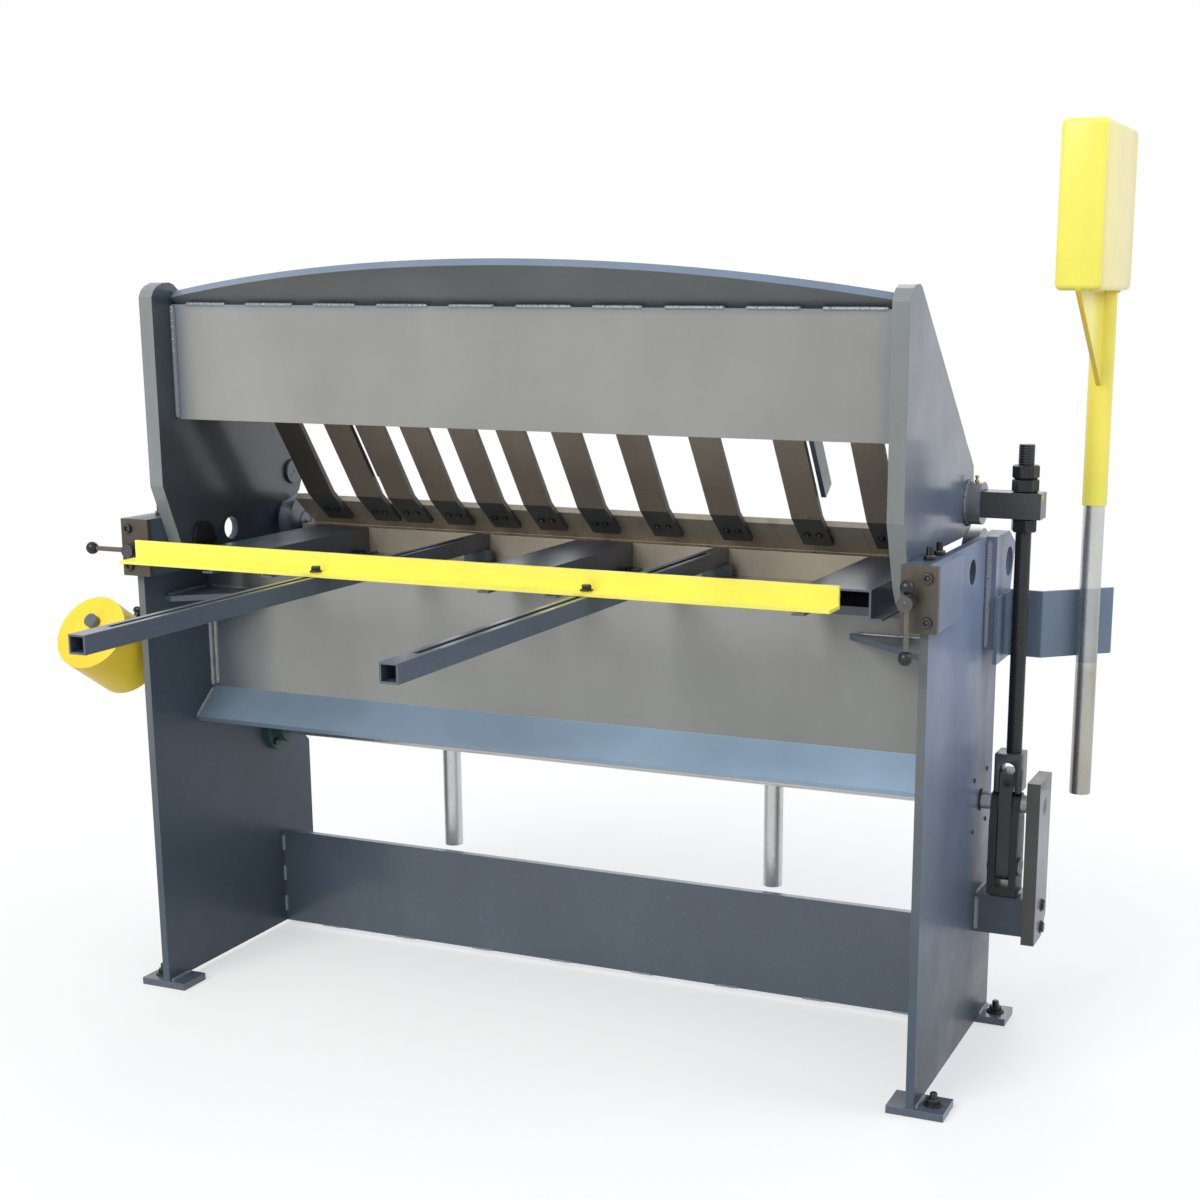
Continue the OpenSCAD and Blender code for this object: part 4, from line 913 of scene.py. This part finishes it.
# Small fasteners
def frame_bolts(bm):
    """Nose bar screws, bearing bolts with their ends outside the plates, and anchor bolts."""
    end_y, end_z, end_half = 348, 397, 42
    flange_x, flange_r = plate_in - 12, 37
    anchor_x, anchor_y = 697, (30, 425)
    for x in range(-560, 557, 186):
        socket_screw(bm, at(x, bar_rear + 15.3, bar_top), UP, 5.0, 0.25)
    for s in SIDES:
        for dy, dz in ((-1, 1), (1, 1), (1, -1), (-1, -1)):
            hex_bolt(bm, at(s * plate_out, end_y + dy * end_half, end_z + dz * end_half), (s, 0, 0), 7.5, 2.2)
        for y, z in circle(shaft_y, shaft_z, flange_r, angles(4, math.pi / 4)):
            hex_bolt(bm, at(s * flange_x, y, z), (-s, 0, 0), 13, 5)
        for y in anchor_y:
            hex_bolt(bm, at(s * anchor_x, y, pad_top), UP, 21, 8, washer=14.5, stud=5.8, reach=9)


def guide_screw_set(bm):
    """Cap screws in the guide end blocks and threaded studs on the housings."""
    for s in SIDES:
        for z in GUIDE_SCREW_Z:
            socket_screw(bm, at(s * GUIDE_SCREW_X, block_rear, z), BACK, 7.6, 5)
        for y in STUD_Y:
            thread(bm, at(s * STUD_X, y, plate_top + 4), UP, 15, 4.8, 2.2, 16)


def guide_screw_rims(bm):
    """Bright socket rims of the cap screws, and the nuts on the studs."""
    for s in SIDES:
        for z in GUIDE_SCREW_Z:
            hoop(bm, at(s * GUIDE_SCREW_X, block_rear - 5, z), BACK, 5.3, 6.5, 0.25)
            lathe(bm, at(s * GUIDE_SCREW_X, block_rear - 2.2, z), BACK, [(0, 3.0), (0.5, 2.8), (0.8, 1.6)], 6)
        for k, y in enumerate(STUD_Y):
            hex_bolt(bm, at(s * STUD_X, y, plate_top), UP, 17, 7, spin=0.3 + k)


def bearing_bolt_set(bm):
    """Bolts of the outer bearing plates, each with a rim."""
    y, levels = 365, (191.97, 229.01)
    for s, x in ((1, right_bearing_x), (-1, left_bearing_x)):
        for z in levels:
            hex_bolt(bm, at(x, y, z), (s, 0, 0), 18.5, 5.2)
            hoop(bm, at(x, y, z), (s, 0, 0), 8, 10.5, 1.6)


def table_bolt_set(bm):
    """Washered bolts on the flanges of the three table supports."""
    pitch, half, rows, flange_z = 521, 60.5, (230.05, 349.98), 730.2
    for x in (-pitch, 0, pitch):
        for s in SIDES:
            for y in rows:
                hex_bolt(bm, at(x + s * half, y, flange_z), UP, 13, 3.6, washer=7.4)


def gauge_bolt_set(bm):
    """Bolts that hold the gauge stop on its tubes, with their nuts inside the tubes."""
    head_z, shank_z, nut_z = 777.1, 763.3, 769.1
    shank = [(0, 3.6), (0.4, 4.0), (13.6, 4.0), (13.8, 3.9)]
    for x in (left_tube_x + TUBE_HALF, right_tube_x - TUBE_HALF):
        hex_bolt(bm, at(x, stop_y, head_z), UP, 15.6, 6.4, washer=9.4)
        lathe(bm, at(x, stop_y, shank_z), UP, shank, 20)
        hex_bolt(bm, at(x, stop_y, nut_z), DOWN, 14.6, 5.8)


def finger_screw_places():
    """Two places on the lower leg of each strap."""
    down, half_gap, sunk = 46, 10, 0.02
    y = BEND_Y + DOWN_STRAP[0] * down - sunk
    z = BEND_Z + DOWN_STRAP[1] * down - sunk
    return [at(x + side * half_gap, y, z) for x in strap_x for side in SIDES]


def finger_screw_set(bm):
    for place in finger_screw_places():
        socket_screw(bm, place, (0, -LEAN[0], -LEAN[1]), 5.6, 2.8)


def finger_screw_socket_glints(bm):
    """Bright steel discs filling the finger screws' sockets, a painted highlight for their glint."""
    sunk = 2.2 * MM * Vector((0, *LEAN))
    for place in finger_screw_places():
        lathe(bm, place - sunk, (0, -LEAN[0], -LEAN[1]), [(0, 2.7), (0.5, 2.6), (0.9, 1.2)], 6)


def pivot_lock_screws(bm):
    y, z = 126.5, 777
    for s in SIDES:
        socket_screw(bm, at(s * panel_end, y, z), (-s, 0, 0), 5, 4)


def link_pin_screws(bm):
    x, z = 722, 433
    for s in SIDES:
        socket_screw(bm, at(s * x, link_rear, z), BACK, 6.0, 3.2)


def grease_nipples(bm):
    """Brass nipples on the collars of the trunnions."""
    collar_x, collar_r = 648, 32.5
    profile = [(0, 3.6), (3, 3.6), (3.4, 2.2), (6.5, 2.2), (7.5, 3.2), (9.5, 2.9), (10.5, 1.6)]
    for s in SIDES:
        lathe(bm, at(s * collar_x, trunnion_y, trunnion_z + collar_r), UP, profile, 14)


# Rings and marks of pins
def pin_head_marks(bm):
    """Rings and spanner holes of the trunnion pins, and a ring of dots round the beam pivots."""
    head_x, hole_r = 605, 11
    dot_x, dot_r = 605.4, 21
    for s in SIDES:
        inward = (-s, 0, 0)
        hoop(bm, at(s * panel_end, trunnion_y, trunnion_z), inward, 20.6, 22.0, 1.6, 48)
        lathe(bm, at(s * head_x, trunnion_y, trunnion_z), inward, [(0, 1.8), (0.3, 1.8)], 16)
        for y, z in circle(trunnion_y, trunnion_z, hole_r, (0.6, 3.7)):
            lathe(bm, at(s * head_x, y, z), inward, [(0, 1.2), (0.25, 1.2)], 12)
        for y, z in circle(pivot_y, pivot_z, dot_r, angles(16)):
            lathe(bm, at(s * dot_x, y, z), inward, [(0, 1.3), (0.9, 1.2)], 10)


def hinge_pin_marks(bm):
    """A ring and a centre mark on the inner ends of the hinge pins."""
    pin_end = 623
    for s in SIDES:
        place = at(s * pin_end, HINGE_Y, HINGE_Z)
        hoop(bm, place, (-s, 0, 0), 16.1, 18.2, 0.35, 48)
        lathe(bm, place, (-s, 0, 0), [(0, 2.2), (0.3, 2.2)], 16)


def shaft_rings(bm):
    for s in SIDES:
        hoop(bm, at(s * (plate_out + 1), shaft_y, shaft_z), (s, 0, 0), 14.4, 17.6, 2.0)


def centre_mark(bm, s):
    """A lathe centre and a thin ring on the hub of a setback screw."""
    place = at(s * screw_x, hub_rear, screw_z)
    lathe(bm, place, BACK, [(0, 2.6), (0.3, 2.2)], 18)
    hoop(bm, place, BACK, 3.2, 4.4, 0.15)


def tommy_balls(bm, ends):
    """Plastic balls over the ends of a tommy bar, a little outward of the plain ones."""
    radius, shift = 10.3, 2.3
    for x, z, out_x, out_z in ends:
        place = at(x + out_x * shift, tommy_y, z + out_z * shift)
        bmesh.ops.create_uvsphere(bm, u_segments=28, v_segments=18, radius=radius * MM,
                                  matrix=Matrix.Translation(place))


LEFT_ENDS = ((left_bar_out + BALL_SEAT_R, screw_z, -1, 0), (left_bar_in - BALL_SEAT_R, screw_z, 1, 0))
RIGHT_ENDS = ((screw_x, right_bar_low + BALL_SEAT_R, 0, -1), (screw_x, right_bar_top - BALL_SEAT_R, 0, 1))

# Name, maker, its further arguments, material, body and replaced nodes of each piece
PIECES = (
    ("beam_welds", beam_welds, (), "painted_weld", "upper_beam", ()),
    ("bed_end_welds", bed_end_welds, (), "raw_weld", "frame", ()),
    ("frame_welds", frame_welds, (), "painted_weld", "frame", ()),
    ("post_welds", post_welds, (), "painted_weld", "apron", ()),
    ("box_welds", box_welds, (), "yellow_paint", "apron", ()),
    ("tie_rod_threads", tie_rod_threads, (), "black_oxide", "tie_rod_links", ()),
    ("rod_fork_shells", fork_shells, (), "black_paint", "tie_rod_links", ("rod_forks",)),
    ("weight_box_shell", weight_box_shell, (), "yellow_paint", "apron", ("weight_box",)),
    ("tie_rod_nut_set", tie_rod_nuts, (), "black_oxide", "tie_rod_links", ("tie_rod_nuts",)),
    ("frame_bolts", frame_bolts, (), "black_oxide", "frame", ()),
    ("guide_screw_set", guide_screw_set, (), "black_oxide", "frame", ("guide_hardware",)),
    ("guide_screw_rims", guide_screw_rims, (), "tool_steel", "frame", ()),
    ("left_screw_centre_mark", centre_mark, (-1,), "tool_steel", "left_screw", ()),
    ("right_screw_centre_mark", centre_mark, (1,), "tool_steel", "right_screw", ()),
    ("bearing_bolt_set", bearing_bolt_set, (), "black_oxide", "frame", ("bearing_bolts",)),
    ("table_bolt_set", table_bolt_set, (), "black_oxide", "frame", ("bed_fasteners",)),
    ("gauge_bolt_set", gauge_bolt_set, (), "black_oxide", "back_gauge", ("gauge_stop_bolts",)),
    ("finger_screw_set", finger_screw_set, (), "black_oxide", "upper_beam", ("finger_screws",)),
    ("finger_screw_socket_glints", finger_screw_socket_glints, (), "bright_steel", "upper_beam", ()),
    ("pivot_lock_screws", pivot_lock_screws, (), "black_oxide", "upper_beam", ()),
    ("pin_head_marks", pin_head_marks, (), "shadow_gap", "upper_beam", ()),
    ("hinge_pin_marks", hinge_pin_marks, (), "shadow_gap", "apron", ()),
    ("link_pin_screws", link_pin_screws, (), "black_oxide", "tie_rod_links", ()),
    ("shaft_rings", shaft_rings, (), "black_oxide", "clamp_crank", ()),
    ("grease_nipples", grease_nipples, (), "brass", "upper_beam", ()),
    ("block_dab", block_dab, (), "yellow_dab", "tie_rod_links", ()),
    ("weight_lock_knob", weight_lock_knob, (), "black_oxide", "clamp_weight", ()),
    ("left_tommy_bar_balls", tommy_balls, (LEFT_ENDS,), "black_oxide", "left_tommy_bar", ()),
    ("right_tommy_bar_balls", tommy_balls, (RIGHT_ENDS,), "black_oxide", "right_tommy_bar", ()),
)
for name, make, further, mat, body, replaced in PIECES:
    bm = bmesh.new()
    make(bm, *further)
    finish_piece(name, bm, mat, body, replaced)


# Floor, light and camera
def seen_directly(n):
    """1 for rays that show the floor or world itself, 0 for rays that only light the part."""
    path = n.new("ShaderNodeLightPath")
    seen = n.either(path.outputs["Is Camera Ray"], path.outputs["Is Glossy Ray"])
    return n.either(seen, path.outputs["Is Transmission Ray"])


def make_floor():
    """A plain pale floor that brightens to the white of the background away from the part."""
    span, drop = 60, 0.0005
    bpy.ops.mesh.primitive_plane_add(size=span, location=(0, 0, -drop))
    floor = bpy.context.object
    floor.name = "floor"
    n = Nodes("floor_plain")
    n.bsdf.inputs["Roughness"].default_value = 0.9
    n.bsdf.inputs["Specular IOR Level"].default_value = 0.1
    seen = seen_directly(n)
    n.link(n.mix(seen, grey(0.6), grey(0.97)), n.bsdf.inputs["Base Color"])
    x, y, _ = n.place()
    share = n.remap(n.length(x, y), (0.75, 1.6), (0.5, 1.0))
    glow = n.new("ShaderNodeEmission", Strength=1.0)
    blend = n.new("ShaderNodeMixShader")
    n.link(n.times(share, seen), blend.inputs["Fac"])
    n.link(n.bsdf.outputs["BSDF"], blend.inputs[1])
    n.link(glow.outputs["Emission"], blend.inputs[2])
    n.link(blend.outputs["Shader"], n.tree.nodes["Material Output"].inputs["Surface"])
    floor.data.materials.append(n.mat)


def make_world():
    """Soft light a little blue, seen as plain white."""
    world = bpy.data.worlds.new("studio")
    bpy.context.scene.world = world
    world.use_nodes = True
    nodes, links = world.node_tree.nodes, world.node_tree.links
    light = nodes["Background"]
    light.inputs["Color"].default_value = (0.92, 0.96, 1.0, 1)
    light.inputs["Strength"].default_value = 0.62
    white = nodes.new("ShaderNodeBackground")
    white.inputs["Color"].default_value = (1, 1, 1, 1)
    white.inputs["Strength"].default_value = 1.0
    path = nodes.new("ShaderNodeLightPath")
    seen = path.outputs["Is Camera Ray"]
    for ray in ("Is Glossy Ray", "Is Transmission Ray"):
        either = nodes.new("ShaderNodeMath")
        either.operation = "MAXIMUM"
        links.new(seen, either.inputs[0])
        links.new(path.outputs[ray], either.inputs[1])
        seen = either.outputs["Value"]
    pick = nodes.new("ShaderNodeMixShader")
    links.new(seen, pick.inputs["Fac"])
    links.new(light.outputs["Background"], pick.inputs[1])
    links.new(white.outputs["Background"], pick.inputs[2])
    links.new(pick.outputs["Shader"], nodes["World Output"].inputs["Surface"])


def make_area(name, place, target, size, energy, colour=(1, 1, 1)):
    """A square soft light at place, turned to target."""
    data = bpy.data.lights.new(name, "AREA")
    data.size = size
    data.energy = energy
    data.color = colour
    lamp = bpy.data.objects.new(name, data)
    lamp.location = place
    aim = Vector(target) - Vector(place)
    lamp.rotation_euler = aim.to_track_quat("-Z", "Y").to_euler()
    bpy.context.scene.collection.objects.link(lamp)


def make_camera():
    """The camera fitted to the photograph: behind the machine, to its right, at chest height."""
    image_px, focal_px, centre_px = 1200, 1855.82, (687.83, 713.07)
    sensor_mm = 36.0
    turn, tilt, roll = (math.radians(v) for v in (22.43, 90 - 12.96, 0.13))
    data = bpy.data.cameras.new("camera")
    data.sensor_width = sensor_mm
    data.lens = sensor_mm * focal_px / image_px
    data.shift_x = (image_px / 2 - centre_px[0]) / image_px
    data.shift_y = (centre_px[1] - image_px / 2) / image_px
    data.clip_end = 100
    camera = bpy.data.objects.new("camera", data)
    camera.location = (1.3342, -2.70015, 1.19622)
    rotation = Matrix.Rotation(turn, 3, "Z") @ Matrix.Rotation(tilt, 3, "X") @ Matrix.Rotation(roll, 3, "Z")
    camera.rotation_euler = rotation.to_euler()
    bpy.context.scene.collection.objects.link(camera)
    bpy.context.scene.camera = camera


make_floor()
make_world()
make_area("key", (-1.2, -4.2, 3.9), (0, 0, 0.8), 2.6, 170, (1.0, 0.99, 0.97))
make_area("sky_right", (2.7, 0.3, 2.5), (0.6, 0, 1.0), 1.3, 28, (0.72, 0.83, 1.0))
make_area("front", (-1.5, 4.0, 3.2), (0, 0, 0.8), 3.0, 45)
make_camera()
bpy.context.scene.view_settings.view_transform = "Standard"
